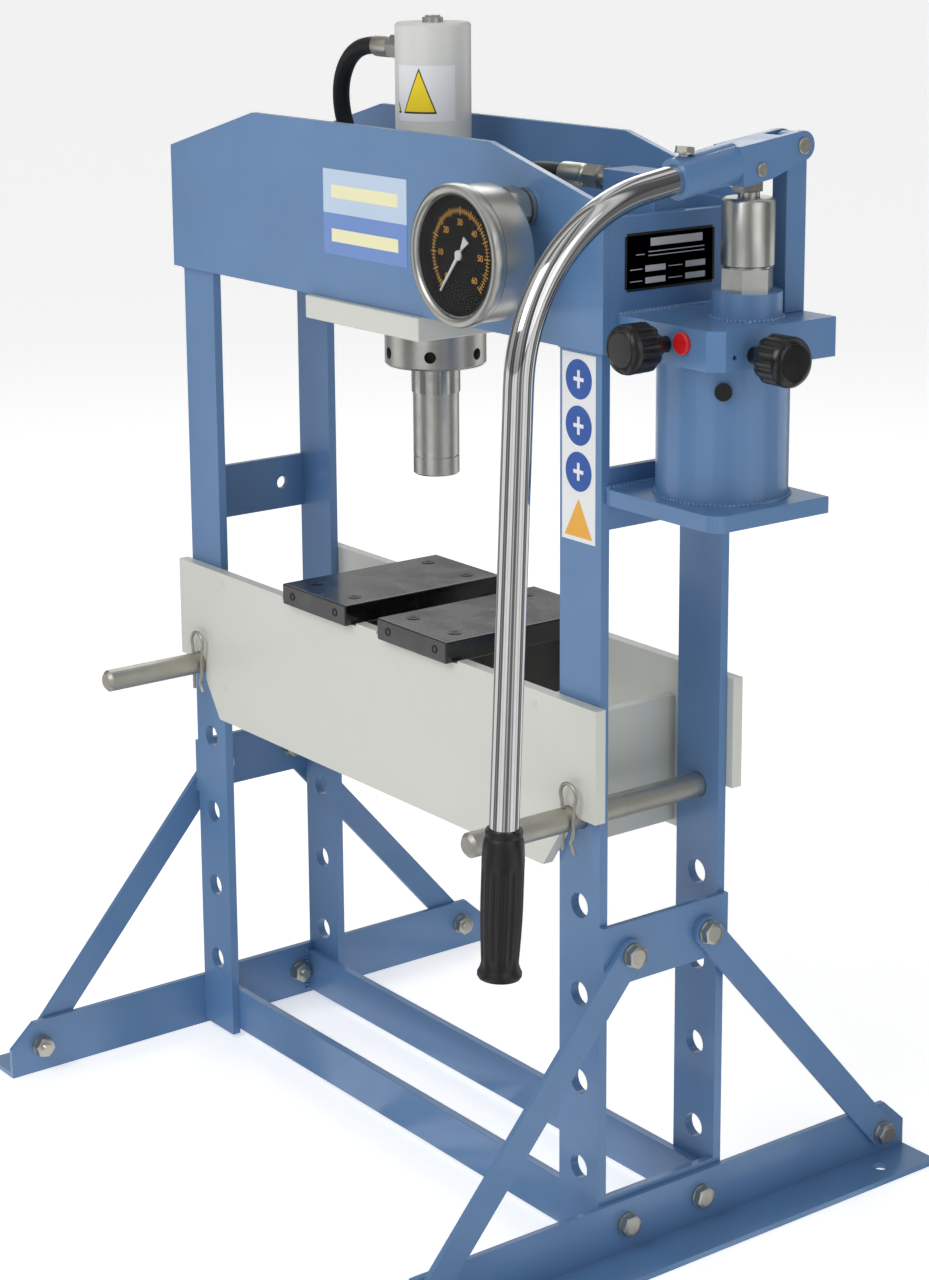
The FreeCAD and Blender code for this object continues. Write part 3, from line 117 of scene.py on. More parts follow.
class PressSizes(bpy.types.PropertyGroup):
    """Sizes of the details that are added to the bars"""
    edge: length_prop("Edge", "Radius on the edges of bars and plates", 0.8)
    decal: length_prop("Label", "Thickness of a stuck-on label", 0.25)
    weld: length_prop("Weld bead", "Radius of a weld bead", 2.4)
    ridge_count: bpy.props.IntProperty(name="Knob ridges", description="Ridges round a valve knob",
                                       min=6, max=60, default=12)
    rib_count: bpy.props.IntProperty(name="Grip ribs", description="Ribs round the lever's grip",
                                     min=6, max=60, default=16)
    tick_count: bpy.props.IntProperty(name="Gauge ticks", description="Fine marks of the scale",
                                      min=10, max=120, default=61)


def colours():
    """The scene's colour settings."""
    return bpy.context.scene.press_colours


def sizes():
    """The scene's size settings, lengths in metres."""
    return bpy.context.scene.press_sizes


# ------------------------------------------------------------------ shader groups
def group_tree(name, inputs, outputs):
    """A shader group with named inputs (socket type, default) and outputs."""
    tree = bpy.data.node_groups.new(name, "ShaderNodeTree")
    for label, (kind, value) in inputs.items():
        socket = tree.interface.new_socket(label, in_out="INPUT", socket_type=kind)
        socket.default_value = value
    for label, kind in outputs.items():
        tree.interface.new_socket(label, in_out="OUTPUT", socket_type=kind)
    return tree, tree.nodes.new("NodeGroupInput"), tree.nodes.new("NodeGroupOutput")


def plug(tree, value, socket):
    """Links another socket in, or sets a plain value."""
    if isinstance(value, bpy.types.NodeSocket):
        tree.links.new(value, socket)
    else:
        socket.default_value = value


def noise(tree, vector, scale, detail=3.0, rough=0.55):
    """A noise texture on a vector socket; scale is a number or a socket."""
    made = tree.nodes.new("ShaderNodeTexNoise")
    made.inputs["Detail"].default_value = detail
    made.inputs["Roughness"].default_value = rough
    tree.links.new(vector, made.inputs["Vector"])
    plug(tree, scale, made.inputs["Scale"])
    return made.outputs["Fac"]


def calc(tree, how, a, b=0.0, c=0.0):
    """A math node on sockets or numbers."""
    made = tree.nodes.new("ShaderNodeMath")
    made.operation = how
    for socket, value in zip(made.inputs, (a, b, c)):
        plug(tree, value, socket)
    return made.outputs[0]


def spread(tree, value, low, high, new_low, new_high):
    """Maps a value from one range to another, clamped."""
    made = tree.nodes.new("ShaderNodeMapRange")
    for socket, number in zip(list(made.inputs)[:5], (value, low, high, new_low, new_high)):
        plug(tree, number, socket)
    return made.outputs[0]


def coordinates(tree):
    """The place on the object, for textures that stay with it."""
    return tree.nodes.new("ShaderNodeTexCoord").outputs["Object"]


def end_group(tree, src, out, shade, gloss, gloss_from, height):
    """Ends a finish: its colour dimmed by a shade, roughness over its range, and a height."""
    grey = tree.nodes.new("ShaderNodeCombineColor")
    for socket in grey.inputs:
        tree.links.new(shade, socket)
    colour = tree.nodes.new("ShaderNodeMix")
    colour.data_type, colour.blend_type = "RGBA", "MULTIPLY"
    for index, value in ((0, 1.0), (6, src.outputs["Colour"]), (7, grey.outputs[0])):
        plug(tree, value, colour.inputs[index])
    rough = spread(tree, gloss, gloss_from, 0.7, src.outputs["Gloss low"],
                   src.outputs["Gloss high"])
    for name, value in (("Colour", colour.outputs[2]), ("Roughness", rough), ("Height", height)):
        tree.links.new(value, out.inputs[name])


def paint_group():
    """Sprayed paint: slow tone drift, a fine orange peel, and faint smudges in the gloss."""
    tree, src, out = group_tree(
        "sprayed_paint",
        {"Colour": ("NodeSocketColor", (0.1, 0.2, 0.5, 1)), "Drift": ("NodeSocketFloat", 0.08),
         "Gloss low": ("NodeSocketFloat", 0.28), "Gloss high": ("NodeSocketFloat", 0.42),
         "Peel": ("NodeSocketFloat", 0.5)},
        {"Colour": "NodeSocketColor", "Roughness": "NodeSocketFloat", "Height": "NodeSocketFloat"})
    where = coordinates(tree)
    slow, peel = noise(tree, where, 9.0), noise(tree, where, 620.0, 1.0)
    smudge = noise(tree, where, 38.0)
    shade = spread(tree, slow, 0.3, 0.7, calc(tree, "SUBTRACT", 1.0, src.outputs["Drift"]), 1.0)
    end_group(tree, src, out, shade, smudge, 0.35,
              calc(tree, "MULTIPLY", peel, src.outputs["Peel"]))


def metal_group():
    """Worked metal: drawn-out tool marks along one direction, with stains in tone and gloss."""
    tree, src, out = group_tree(
        "worked_metal",
        {"Colour": ("NodeSocketColor", (0.5, 0.5, 0.5, 1)),
         "Stretch": ("NodeSocketVector", (1, 1, 1)),
         "Marks": ("NodeSocketFloat", 400.0), "Gloss low": ("NodeSocketFloat", 0.2),
         "Gloss high": ("NodeSocketFloat", 0.4), "Stain": ("NodeSocketFloat", 0.2)},
        {"Colour": "NodeSocketColor", "Roughness": "NodeSocketFloat", "Height": "NodeSocketFloat"})
    where = coordinates(tree)
    scaled = tree.nodes.new("ShaderNodeVectorMath")
    scaled.operation = "MULTIPLY"
    tree.links.new(where, scaled.inputs[0])
    tree.links.new(src.outputs["Stretch"], scaled.inputs[1])
    marks = noise(tree, scaled.outputs[0], src.outputs["Marks"], 3.0, 0.7)
    stain = noise(tree, where, 55.0, 4.0)
    shade = spread(tree, stain, 0.35, 0.7, 1.0, calc(tree, "SUBTRACT", 1.0, src.outputs["Stain"]))
    gloss = calc(tree, "ADD", calc(tree, "MULTIPLY", marks, 0.6),
                 calc(tree, "MULTIPLY", stain, 0.4))
    end_group(tree, src, out, shade, gloss, 0.3, marks)


# ------------------------------------------------------------------ materials
FINISH = {}


def start_material(name, **fixed):
    """A material with one shader; fixed values go on the shader's own sockets."""
    material = FINISH[name] = bpy.data.materials.new(name + "_finish")
    material.use_nodes = True
    shader = material.node_tree.nodes["Principled BSDF"]
    for label, value in fixed.items():
        shader.inputs[label.replace("_", " ")].default_value = value
    return material, material.node_tree, shader


def group_material(name, group, colour, bump, distance, values, **fixed):
    """A material whose colour, roughness and bump come from a shared group."""
    _, tree, shader = start_material(name, **fixed)
    part = tree.nodes.new("ShaderNodeGroup")
    part.node_tree = bpy.data.node_groups[group]
    part.inputs["Colour"].default_value = (*colour, 1)
    for label, value in values.items():
        part.inputs[label].default_value = value
    rise = tree.nodes.new("ShaderNodeBump")
    rise.inputs["Strength"].default_value = bump
    rise.inputs["Distance"].default_value = distance
    tree.links.new(part.outputs["Colour"], shader.inputs["Base Color"])
    tree.links.new(part.outputs["Roughness"], shader.inputs["Roughness"])
    tree.links.new(part.outputs["Height"], rise.inputs["Height"])
    tree.links.new(rise.outputs["Normal"], shader.inputs["Normal"])


def make_materials():
    """Every finish of the press, by name, in FINISH."""
    paint_group()
    metal_group()
    c = colours()
    around, level = (0.02, 0.02, 1.0), (1.0, 1.0, 0.03)

    def paint(name, colour, low, high, drift=0.08, coat=0.35, peel=0.5):
        group_material(name, "sprayed_paint", colour, 0.12, 0.0004,
                       {"Drift": drift, "Gloss low": low, "Gloss high": high, "Peel": peel},
                       Coat_Weight=coat, Coat_Roughness=0.12)

    def metal(name, colour, low, high, stretch, marks=400.0, stain=0.15, bump=0.1):
        group_material(name, "worked_metal", colour, bump, 0.0002,
                       {"Stretch": stretch, "Marks": marks, "Gloss low": low, "Gloss high": high,
                        "Stain": stain}, Metallic=1.0)

    paint("frame_paint", c.frame, 0.3, 0.46)
    paint("bed_paint", c.bed, 0.34, 0.5, 0.04)
    paint("cylinder_paint", c.cylinder, 0.3, 0.44, 0.03)
    paint("block_paint", c.blocks, 0.14, 0.34, 0.3, 0.6, 0.8)
    paint("hose_rubber", c.rubber, 0.42, 0.62, 0.3, 0.0, 1.0)
    paint("grip_rubber", c.rubber, 0.36, 0.55, 0.25, 0.05, 1.0)
    paint("knob_plastic", c.plastic, 0.24, 0.36, 0.2, 0.1, 0.5)
    paint("red_plastic", c.vent, 0.25, 0.4, 0.1)
    metal("zinc", c.zinc, 0.28, 0.46, (1, 1, 1), 160.0, 0.12)
    metal("brass", srgb(204, 160, 92), 0.24, 0.4, (1, 1, 1), 160.0, 0.12)
    metal("pin_zinc", c.zinc, 0.4, 0.56, (1.0, 0.03, 1.0), 500.0, 0.12)
    metal("ring_steel", c.steel, 0.26, 0.42, around, 900.0, 0.12)
    metal("ram_steel", c.steel, 0.16, 0.34, level, 700.0, 0.3, 0.2)
    metal("barrel_steel", c.steel, 0.26, 0.38, around, 900.0, 0.12)
    metal("chrome", c.chrome, 0.04, 0.12, (1, 1, 0.1), 90.0, 0.06, 0.02)
    metal("gauge_steel", c.steel, 0.26, 0.38, (0.02, 1.0, 0.02), 700.0, 0.06)
    metal("black_steel", (0.02, 0.02, 0.02), 0.4, 0.6, (1, 1, 1))
    for name, colour, rough in (
            ("print_white", (0.85, 0.85, 0.82), 0.5),
            ("print_scale", tuple(c.scale), 0.5), ("label_white", (0.84, 0.85, 0.86), 0.35),
            ("label_pale", srgb(196, 214, 236), 0.3), ("label_blue", tuple(c.badge), 0.3),
            ("label_sign", srgb(26, 84, 168), 0.35), ("label_amber", srgb(240, 176, 60), 0.35),
            ("label_yellow", srgb(250, 220, 20), 0.35),
            ("label_cream", srgb(244, 240, 196), 0.35),
            ("label_black", (0.012, 0.012, 0.014), 0.3),
            # hole_shade: a near-black finish that paints the shade inside holes
            ("label_silver", srgb(186, 188, 190), 0.4), ("hole_shade", (0.01, 0.01, 0.01), 0.6)):
        paint(name, colour, rough, rough + 0.12, 0.05, 0.1, 0.3)
    start_material("dial_black", Base_Color=(0.004, 0.004, 0.005, 1), Roughness=0.7,
                   Specular_IOR_Level=0.1)
    start_material("glass", Base_Color=(1, 1, 1, 1), Roughness=0.0, IOR=1.12,
                   Transmission_Weight=1.0)


# ------------------------------------------------------------------ mesh helpers
def linked(name, data):
    """A new object in the scene."""
    made = bpy.data.objects.new(name, data)
    bpy.context.scene.collection.objects.link(made)
    return made


def piece(name, mesh, body, slot, materials=None, replaces=(), smooth=True):
    """Links a mesh, or a fill function's mesh, as a piece with its body and replaced nodes.

    The finish is the one named like the slot unless materials are given."""
    if callable(mesh):
        mesh = built(name, mesh)
    made = linked(name, mesh)
    if not mesh.materials:
        for material in materials or [slot]:
            mesh.materials.append(FINISH[material])
    if smooth:
        shade_crisp(mesh)
    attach(made, body)
    if replaces:
        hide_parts(*replaces)
    return made


def shade_crisp(mesh):
    """Smooth shading that keeps the edges of flat faces sharp."""
    mesh.shade_smooth()
    mesh.set_sharp_from_angle(angle=radians(32))


def soften(made, width):
    """Rounds an object's edges with a live bevel and evens its normals."""
    bevel = made.modifiers.new("Edges", "BEVEL")
    bevel.width = width
    bevel.segments = 2
    bevel.limit_method = "ANGLE"
    bevel.angle_limit = radians(38)
    made.modifiers.new("Normals", "WEIGHTED_NORMAL").keep_sharp = False


def copied(node, material, edge=None, slot=None):
    """A merged copy of a CAD node in place of the node, its edges rounded when an edge width is
    given.
    """
    work = bmesh.new()
    work.from_mesh(NODES[node].data)
    bmesh.ops.remove_doubles(work, verts=work.verts, dist=2e-6)
    bmesh.ops.dissolve_limit(work, angle_limit=radians(0.5), verts=work.verts,
                             edges=work.edges)
    mesh = bpy.data.meshes.new(node + "_skin")
    work.to_mesh(mesh)
    work.free()
    mesh.materials.clear()
    if "custom_normal" in mesh.attributes:
        mesh.attributes.remove(mesh.attributes["custom_normal"])
    made = piece(node + "_skin", mesh, NODES[node]["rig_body"], slot or material, [material],
                 [node], smooth=False)
    if edge:
        mesh.shade_smooth()
        soften(made, edge)
    else:
        shade_crisp(mesh)


def refinish(node, finish):
    """Gives a CAD node that is shown as it is its finish."""
    NODES[node].data.materials.clear()
    NODES[node].data.materials.append(FINISH[finish])


def frame_at(at, axis):
    """A matrix, in metres, that lays local Z along an axis at a point in millimetres."""
    turn = Z.rotation_difference(Vector(axis).normalized()).to_matrix().to_4x4()
    return Matrix.Translation(Vector(at) * MM) @ turn @ Matrix.Scale(MM, 4)


def skin(work, rings, index=0, ring=False):
    """Joins rims of corners, or single points, into one closed form."""
    for low, high in zip(rings, rings[1:] + rings[:1] if ring else rings[1:]):
        around = max(len(low), len(high))
        for i in range(around if around > 1 else 0):
            j = (i + 1) % around
            corners = [low[0]] if len(low) == 1 else [low[i], low[j]]
            corners += [high[0]] if len(high) == 1 else [high[j], high[i]]
            work.faces.new(corners).material_index = index
    for rim, flip in ((rings[0], True), (rings[-1], False)):
        if len(rim) > 1 and not ring:
            work.faces.new(list(reversed(rim)) if flip else rim).material_index = index


def drum(work, radius, low, high, at, axis=Z, around=48, index=0):
    """Adds a plain round bar between two heights on its axis."""
    lathe(work, [(0, low), (radius, low), (radius, high), (0, high)], at, axis, around,
          index=index)


def lathe(work, profile, at, axis=Z, around=48, shape=None, index=0, ring=False):
    """Adds a closed turned form: (radius, height) pairs, shaped by shape(angle, height).

    A ring joins its last pair to its first, and anything else has its open ends capped."""
    place = frame_at(at, axis)
    rings = []
    for radius, height in profile:
        if radius < 1e-6:
            rings.append([work.verts.new(place @ Vector((0, 0, height)))])
            continue
        rim = []
        for i in range(around):
            angle = TAU * i / around
            r = radius * (shape(angle, height) if shape else 1.0)
            rim.append(work.verts.new(place @ Vector((r * cos(angle), r * sin(angle),
                                                      height))))
        rings.append(rim)
    skin(work, rings, index, ring)


def hexagon(work, flat, low, high, at, axis=Z, turn=0.0, top=True):
    """Adds a hexagon head: flat is half its width across flats, with the usual round chamfer."""
    place = frame_at(at, axis)
    around = 36
    rims = [[], [], []]
    for i in range(around):
        angle = TAU * i / around
        reach = flat / cos((angle % (TAU / 6)) - TAU / 12)
        drop = (reach - flat * 0.95) * 0.55
        for rim, (r, z) in zip(rims, ((reach, low), (reach, high - drop if top else high),
                                      (flat * 0.95 if top else reach, high))):
            rim.append(work.verts.new(place @ Vector((r * cos(angle + turn),
                                                      r * sin(angle + turn), z))))
    skin(work, rims)


def block(work, low, high, index=0):
    """Adds a box between two corners in millimetres."""
    verts = [work.verts.new(Vector((x, y, z)) * MM) for z in (low[2], high[2]) for x, y in
             ((low[0], low[1]), (high[0], low[1]), (high[0], high[1]), (low[0], high[1]))]
    for face in ((3, 2, 1, 0), (4, 5, 6, 7), (0, 1, 5, 4), (1, 2, 6, 5), (2, 3, 7, 6),
                 (3, 0, 4, 7)):
        work.faces.new([verts[i] for i in face]).material_index = index


def sweep(work, points, radius, around):
    """Adds a round bar along points in millimetres, with no twist."""
    points = [Vector(p) for p in points]
    side = None
    rings = []
    for i, point in enumerate(points):
        ahead = (points[min(i + 1, len(points) - 1)] - points[max(i - 1, 0)]).normalized()
        if side is None:
            side = ahead.orthogonal().normalized()
        side = (side - ahead * side.dot(ahead)).normalized()
        other = ahead.cross(side)
        rings.append([work.verts.new((point + (side * cos(TAU * k / around)
                                               + other * sin(TAU * k / around)) * radius) * MM)
                      for k in range(around)])
    skin(work, rings)


def built(name, fill):
    """A mesh filled by a function that is given a bmesh."""
    work = bmesh.new()
    fill(work)
    bmesh.ops.recalc_face_normals(work, faces=work.faces)
    mesh = bpy.data.meshes.new(name)
    work.to_mesh(mesh)
    work.free()
    return mesh


# ------------------------------------------------------------------ geometry nodes
def scatter_tree(name):
    """A tree that sets an item on each vertex, turned by the vertex's own "turn" attribute."""
    tree = bpy.data.node_groups.new(name, "GeometryNodeTree")
    for label, side, kind in (("Places", "INPUT", "NodeSocketGeometry"),
                              ("Item", "INPUT", "NodeSocketObject"),
                              ("Finish", "INPUT", "NodeSocketMaterial"),
                              ("Result", "OUTPUT", "NodeSocketGeometry")):
        tree.interface.new_socket(label, in_out=side, socket_type=kind)
    new, link = tree.nodes.new, tree.links.new
    src, out, info = new("NodeGroupInput"), new("NodeGroupOutput"), new("GeometryNodeObjectInfo")
    put, real, finish = (new("GeometryNodeInstanceOnPoints"), new("GeometryNodeRealizeInstances"),
                         new("GeometryNodeSetMaterial"))
    turn, as_turn = new("GeometryNodeInputNamedAttribute"), new("FunctionNodeEulerToRotation")
    turn.data_type = "FLOAT_VECTOR"
    turn.inputs["Name"].default_value = "turn"
    link(src.outputs["Places"], put.inputs["Points"])
    link(src.outputs["Item"], info.inputs["Object"])
    link(info.outputs["Geometry"], put.inputs["Instance"])
    link(turn.outputs["Attribute"], as_turn.inputs[0])
    link(as_turn.outputs[0], put.inputs["Rotation"])
    link(put.outputs[0], real.inputs[0])
    link(real.outputs[0], finish.inputs["Geometry"])
    link(src.outputs["Finish"], finish.inputs["Material"])
    link(finish.outputs[0], out.inputs["Result"])
    return tree


def scattered(name, places, item, body, slot, finish=None, replaces=()):
    """A piece of an item's mesh repeated at places: (point in millimetres, euler turn) pairs."""
    finish = finish or slot
    spots = bpy.data.meshes.new(name + "_places")
    spots.from_pydata([Vector(at) * MM for at, _ in places], [], [])
    turns = spots.attributes.new("turn", "FLOAT_VECTOR", "POINT")
    for entry, (_, turn) in zip(turns.data, places):
        entry.vector = turn
    host, source = linked(name + "_host", spots), linked(name, item)
    modifier = host.modifiers.new("Repeat", "NODES")
    modifier.node_group = bpy.data.node_groups.get("set_on_places") or scatter_tree("set_on_places")
    values = {"Item": source, "Finish": FINISH[finish]}
    for entry in modifier.node_group.interface.items_tree:
        if entry.in_out == "INPUT" and entry.name in values:
            modifier[entry.identifier] = values[entry.name]
    ready = host.evaluated_get(bpy.context.evaluated_depsgraph_get())
    mesh = bpy.data.meshes.new_from_object(ready)
    for thing in (host, source):
        bpy.data.objects.remove(thing)
    mesh.name = name
    piece(name, mesh, body, slot, [finish], replaces)


def facing(axis, spin=0.0):
    """Euler angles that lay local Z along an axis, after a spin about Z."""
    turn = Z.rotation_difference(Vector(axis)).to_matrix() @ Matrix.Rotation(spin, 3, "Z")
    return tuple(turn.to_euler())


def span(node):
    """The corners of a CAD node's box, in millimetres."""
    low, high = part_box(node)
    return Vector(low) / MM, Vector(high) / MM


def middle(node):
    """The middle of a CAD node's box, in millimetres."""
    return sum(span(node), Vector()) / 2


# ------------------------------------------------------------------ painted bars and plates
FRAME_BARS = [
    "upright_front_left", "upright_front_right", "upright_back_left", "upright_back_right",
    "beam_plate_front", "beam_plate_back", "pump_bracket", "upright_spacers", "brace_plates",
    "foot_left", "foot_right", "crossbar_front", "crossbar_back", "brace_front_left",
    "brace_back_left", "brace_front_right", "brace_back_right", "pump_base", "pump_block",
    "lever_post", "lever_head",
]


class PRESS_OT_frame(bpy.types.Operator):
    """Uprights, beam, feet, braces and the other blue bars and plates"""
    bl_idname = "press.frame"
    bl_label = "Frame"

    def execute(self, context):
        for node in FRAME_BARS:
            copied(node, "frame_paint", sizes().edge)
        copied("oil_reservoir", "frame_paint")
        return {"FINISHED"}


BEAD_STEP = 3.4


def bead_row(start, end, step=BEAD_STEP):
    """Places along a line for the ripples of a weld bead."""
    start, end = Vector(start), Vector(end)
    count = max(2, int((end - start).length / step))
    way = (end - start).normalized()
    return [(start.lerp(end, i / (count - 1)), facing(way)) for i in range(count)]


def bead_ring(centre, radius, step=BEAD_STEP):
    """Places round a level circle for the ripples of a weld bead."""
    count = int(TAU * radius / step)
    spots = []
    for i in range(count):
        angle = TAU * i / count
        spots.append((Vector(centre) + Vector((cos(angle), sin(angle), 0)) * radius,
                      facing((-sin(angle), cos(angle), 0))))
    return spots


class PRESS_OT_welds(bpy.types.Operator):
    """Weld beads under the paint, at the pump, the beam and the crossbars"""
    bl_idname = "press.welds"
    bl_label = "Weld beads"

    def execute(self, context):
        bead = sizes().weld / MM
        item = built("bead", lambda work: lathe(
            work, [(0, -bead), (bead * 0.7, -bead * 0.7), (bead, 0), (bead * 0.8, bead * 0.6),
                   (0, bead * 0.8)], (0, 0, 0), around=10))
        tank_low, tank_high = span("oil_reservoir")
        tank, barrel = middle("oil_reservoir"), middle("pump_barrel")
        radius = (tank_high.x - tank_low.x) / 2
        block_x, base_z = span("pump_block")[0].x + 0.5, span("pump_base")[1].z
        base_low, base_high = span("pump_base")
        bar_x, beam_z = span("upright_front_right")[1].x + 0.5, span("beam_plate_front")[0].z
        rows = bead_ring((tank.x, tank.y, tank_low.z), radius)
        rows += bead_ring((tank.x, tank.y, tank_high.z), radius)
        collar_z, collar_r, block_z = base_z + 134, 26.5, 777
        rows += bead_ring((barrel.x, barrel.y, collar_z), collar_r)
        for y in (base_low.y + 2, base_high.y - 2):
            rows += bead_row((base_low.x + 1, y, base_z), (base_low.x + 1, -y, base_z), 1e9)
        rows += bead_row((bar_x, -58, base_z), (bar_x, 48, base_z))
        rows += bead_row((block_x, -55, block_z), (block_x, 60, block_z))
        for side in (-1, 1):
            for y in (-66, 66):
                rows += bead_row((side * 250, y, beam_z), (side * 300, y, beam_z))
            for y in (-50, 50):
                rows += bead_row((side * 294, y, 8), (side * 294, y, 48))
        scattered("weld_beads", rows, item, "frame", "frame_paint")
        return {"FINISHED"}


class PRESS_OT_fasteners(bpy.types.Operator):
    """Hexagon bolts with washers, and their nuts, on the feet and braces"""
    bl_idname = "press.fasteners"
    bl_label = "Frame bolts"

    def execute(self, context):
        def head(work):
            lathe(work, [(0, -8.4), (9.4, -8.4), (9.8, -8.0), (9.8, -6.6), (9.4, -6.4), (0, -6.4)],
                  (0, 0, 0), around=40)
            hexagon(work, 8.5, -6.4, -0.2, (0, 0, 0))
            lathe(work, [(0, -0.2), (6.4, -0.2), (6.2, 0.05), (0, 0.05)], (0, 0, 0), around=30)

        def nut(work):
            hexagon(work, 8.5, -8.0, 0, (0, 0, 0))
            drum(work, 9.8, -10, -8, (0, 0, 0), around=40)
            for i in range(5):
                lathe(work, [(0, i * 0.8), (4.6, i * 0.8), (5, i * 0.8 + 0.3), (4.6, i * 0.8 + 0.8),
                             (0, i * 0.8 + 0.8)], (0, 0, 0), around=24)

        heads, nuts = [], []
        for side in (-1, 1):
            for n, (y, z, outer, inner) in enumerate((
                    (40, 29, 305, 294), (-40, 29, 305, 294), (247, 26, 310, 300),
                    (-247, 26, 310, 300), (40, 263, 310, 300), (-40, 263, 310, 300))):
                spin = 0.35 + 0.9 * n + side * 0.4
                heads.append(((side * (outer + 8.4), y, z), facing((side, 0, 0), spin)))
                nuts.append(((side * (inner - 10), y, z), facing((-side, 0, 0), spin * 1.7)))
        scattered("frame_bolts", heads, built("head", head), "frame", "zinc",
                  replaces=["frame_fasteners"])
        scattered("frame_nuts", nuts, built("nut", nut), "frame", "zinc")
        return {"FINISHED"}


class PRESS_OT_bed(bpy.types.Operator):
    """The bed's plates, with the shallow dimples of their plug welds"""
    bl_idname = "press.bed"
    bl_label = "Bed"

    def execute(self, context):
        for node in ("bed_plate_front", "bed_plate_back", "bed_cross_plates"):
            copied(node, "bed_paint", sizes().edge)
        copied("ram_mount_plate", "bed_paint", 1.2 * MM)
        face = span("bed_plate_front")[0].y
        item = built("dimple", lambda work: lathe(
            work, [(0, 0), (3.4, 0), (3.4, 0.3), (2.6, 0.6), (2.0, 0.25), (0, 0.1)], (0, 0, 0),
            around=20))
        spots = []
        for y, way in ((face, -1), (-face, 1)):
            spots += [((x, y - way * 0.1, z), facing((0, way, 0)))
                      for x in (-231, 231) for z in (458, 360)]
        scattered("plug_welds", spots, item, "bed", "bed_paint")
        return {"FINISHED"}


class PRESS_OT_blocks(bpy.types.Operator):
    """The two black press blocks, their screws, and near-black discs of painted shade for their
    holes
    """
    bl_idname = "press.blocks"
    bl_label = "Press blocks"

    def execute(self, context):
        def screw(work):
            lathe(work, [(0, -0.3), (6.4, -0.3), (6.4, 0.25), (5.9, 0.25), (5.6, -0.1), (0, -0.1)],
                  (0, 0, 0), around=28)
            lathe(work, [(0, -0.2), (4.6, -0.2), (4.6, 0.45), (2.6, 0.45), (2.4, -0.15),
                         (0, -0.15)], (0, 0, 0), around=24)

        def socket(work):
            lathe(work, [(0, -0.2), (3.6, -0.2), (3.6, 0.4), (2.2, 0.4), (2.0, -0.1), (0, -0.1)],
                  (0, 0, 0), around=24)

        for side in ("left", "right"):
            node = f"press_block_{side}"
            copied(node, "block_paint", 1.4 * MM)
            low, high = span(node)
            spots = [((x, y, high.z), (0, 0, 0)) for x in (low.x + 20, high.x - 20)
                     for y in (low.y + 24, high.y - 24)]
            scattered(f"block_screws_{side}", spots, built("screw", screw), f"block_{side}",
                      "block_paint")
            # Near-black discs of painted shade where the holes in the blocks' ends are
            ends = [((x, low.y, high.z - 9), facing((0, -1, 0)))
                    for x in (low.x + 16, high.x - 16)]
            scattered(f"block_sockets_{side}", ends, built("socket", socket), f"block_{side}",
                      "block_paint", "hole_shade")
        return {"FINISHED"}


class PRESS_OT_ram(bpy.types.Operator):
    """Cylinder, cap, lock ring, ram and its hidden pieces"""
    bl_idname = "press.ram"
    bl_label = "Cylinder and ram"

    def execute(self, context):
        copied("cylinder", "cylinder_paint", 0.8 * MM)
        copied("lock_ring", "ring_steel", 0.7 * MM)
        for node, material in (("ram", "ram_steel"), ("ram_nose", "ring_steel"),
                               ("ram_gland", "ring_steel"), ("piston", "ring_steel")):
            copied(node, material, slot="polished_steel" if node == "ram" else material)
        copied("piston_seal", "hose_rubber", slot="seal_rubber")
        spring_low, spring_high = span("return_spring")

        def coil(work):
            turns, steps, coil_r, end, wire_r = 34, 14, 9.3, 1.2, 1.15
            count = turns * steps
            mid = middle("return_spring")
            rise = spring_high.z - spring_low.z - 2 * end
            points = [(mid.x + coil_r * cos(TAU * i / steps),
                       mid.y + coil_r * sin(TAU * i / steps),
                       spring_low.z + end + rise * i / count) for i in range(count + 1)]
            sweep(work, points, wire_r, 8)

        piece("return_coil", coil, "frame", "black_steel", replaces=["return_spring"])
        cap_z = span("filler_cap")[0].z

        def cap(work):
            lathe(work, [(0, 0), (8.7, 0), (8.7, 3.6), (8.2, 4.2), (0, 4.2)],
                  (0, 0, cap_z), around=40)
            hexagon(work, 5.6, 4.0, 6.0, (0, 0, cap_z))

        piece("cap_screw", cap, "frame", "zinc", replaces=["filler_cap"])
        ring_r, ring_z = 35.6, 703

        # Near-black discs of painted shade where the lock ring's spanner holes are
        def marks(work):
            for n in range(6):
                a = radians(-42.6 + 60 * n)
                drum(work, 4.9, -1.0, 0.4, (ring_r * cos(a), ring_r * sin(a), ring_z),
                     (cos(a), sin(a), 0), 24)

        piece("ring_sockets", marks, "frame", "ring_steel", ["hole_shade"])
        grub_z = span("ram_nose")[1].z - 40
        piece("nose_grub", lambda work: lathe(
            work, [(0, 0), (2.9, 0), (2.9, 6), (1.4, 6), (1.4, 4.5), (0, 4.5)],
            (-12, 0, grub_z), -X, 24), "ram_body", "ring_steel", ["zinc"])
        return {"FINISHED"}


HOSE_ROUTE = [
    (-80.0, 0.0, 956.0), (-101.6, 0.0, 956.0), (-129.1, 2.0, 941.4),
    (-146.5, 6.0, 915.5), (-149.8, 12.0, 884.5), (-138.1, 19.0, 855.6),
    (-114.2, 26.0, 835.6), (-87.0, 33.5, 829.5), (-58.0, 40.0, 829.0),
    (-31.0, 44.5, 830.0), (-5.0, 46.5, 833.0), (21.0, 46.0, 837.5),
    (46.0, 41.5, 843.5), (70.0, 33.5, 851.0), (93.0, 23.0, 858.0),
    (116.0, 12.5, 863.5), (139.0, 4.0, 867.0), (161.0, 0.0, 868.0),
    (174.0, 0.0, 868.0),
]
HOSE_RADIUS, HOSE_LENGTH = 7.5, 480.0


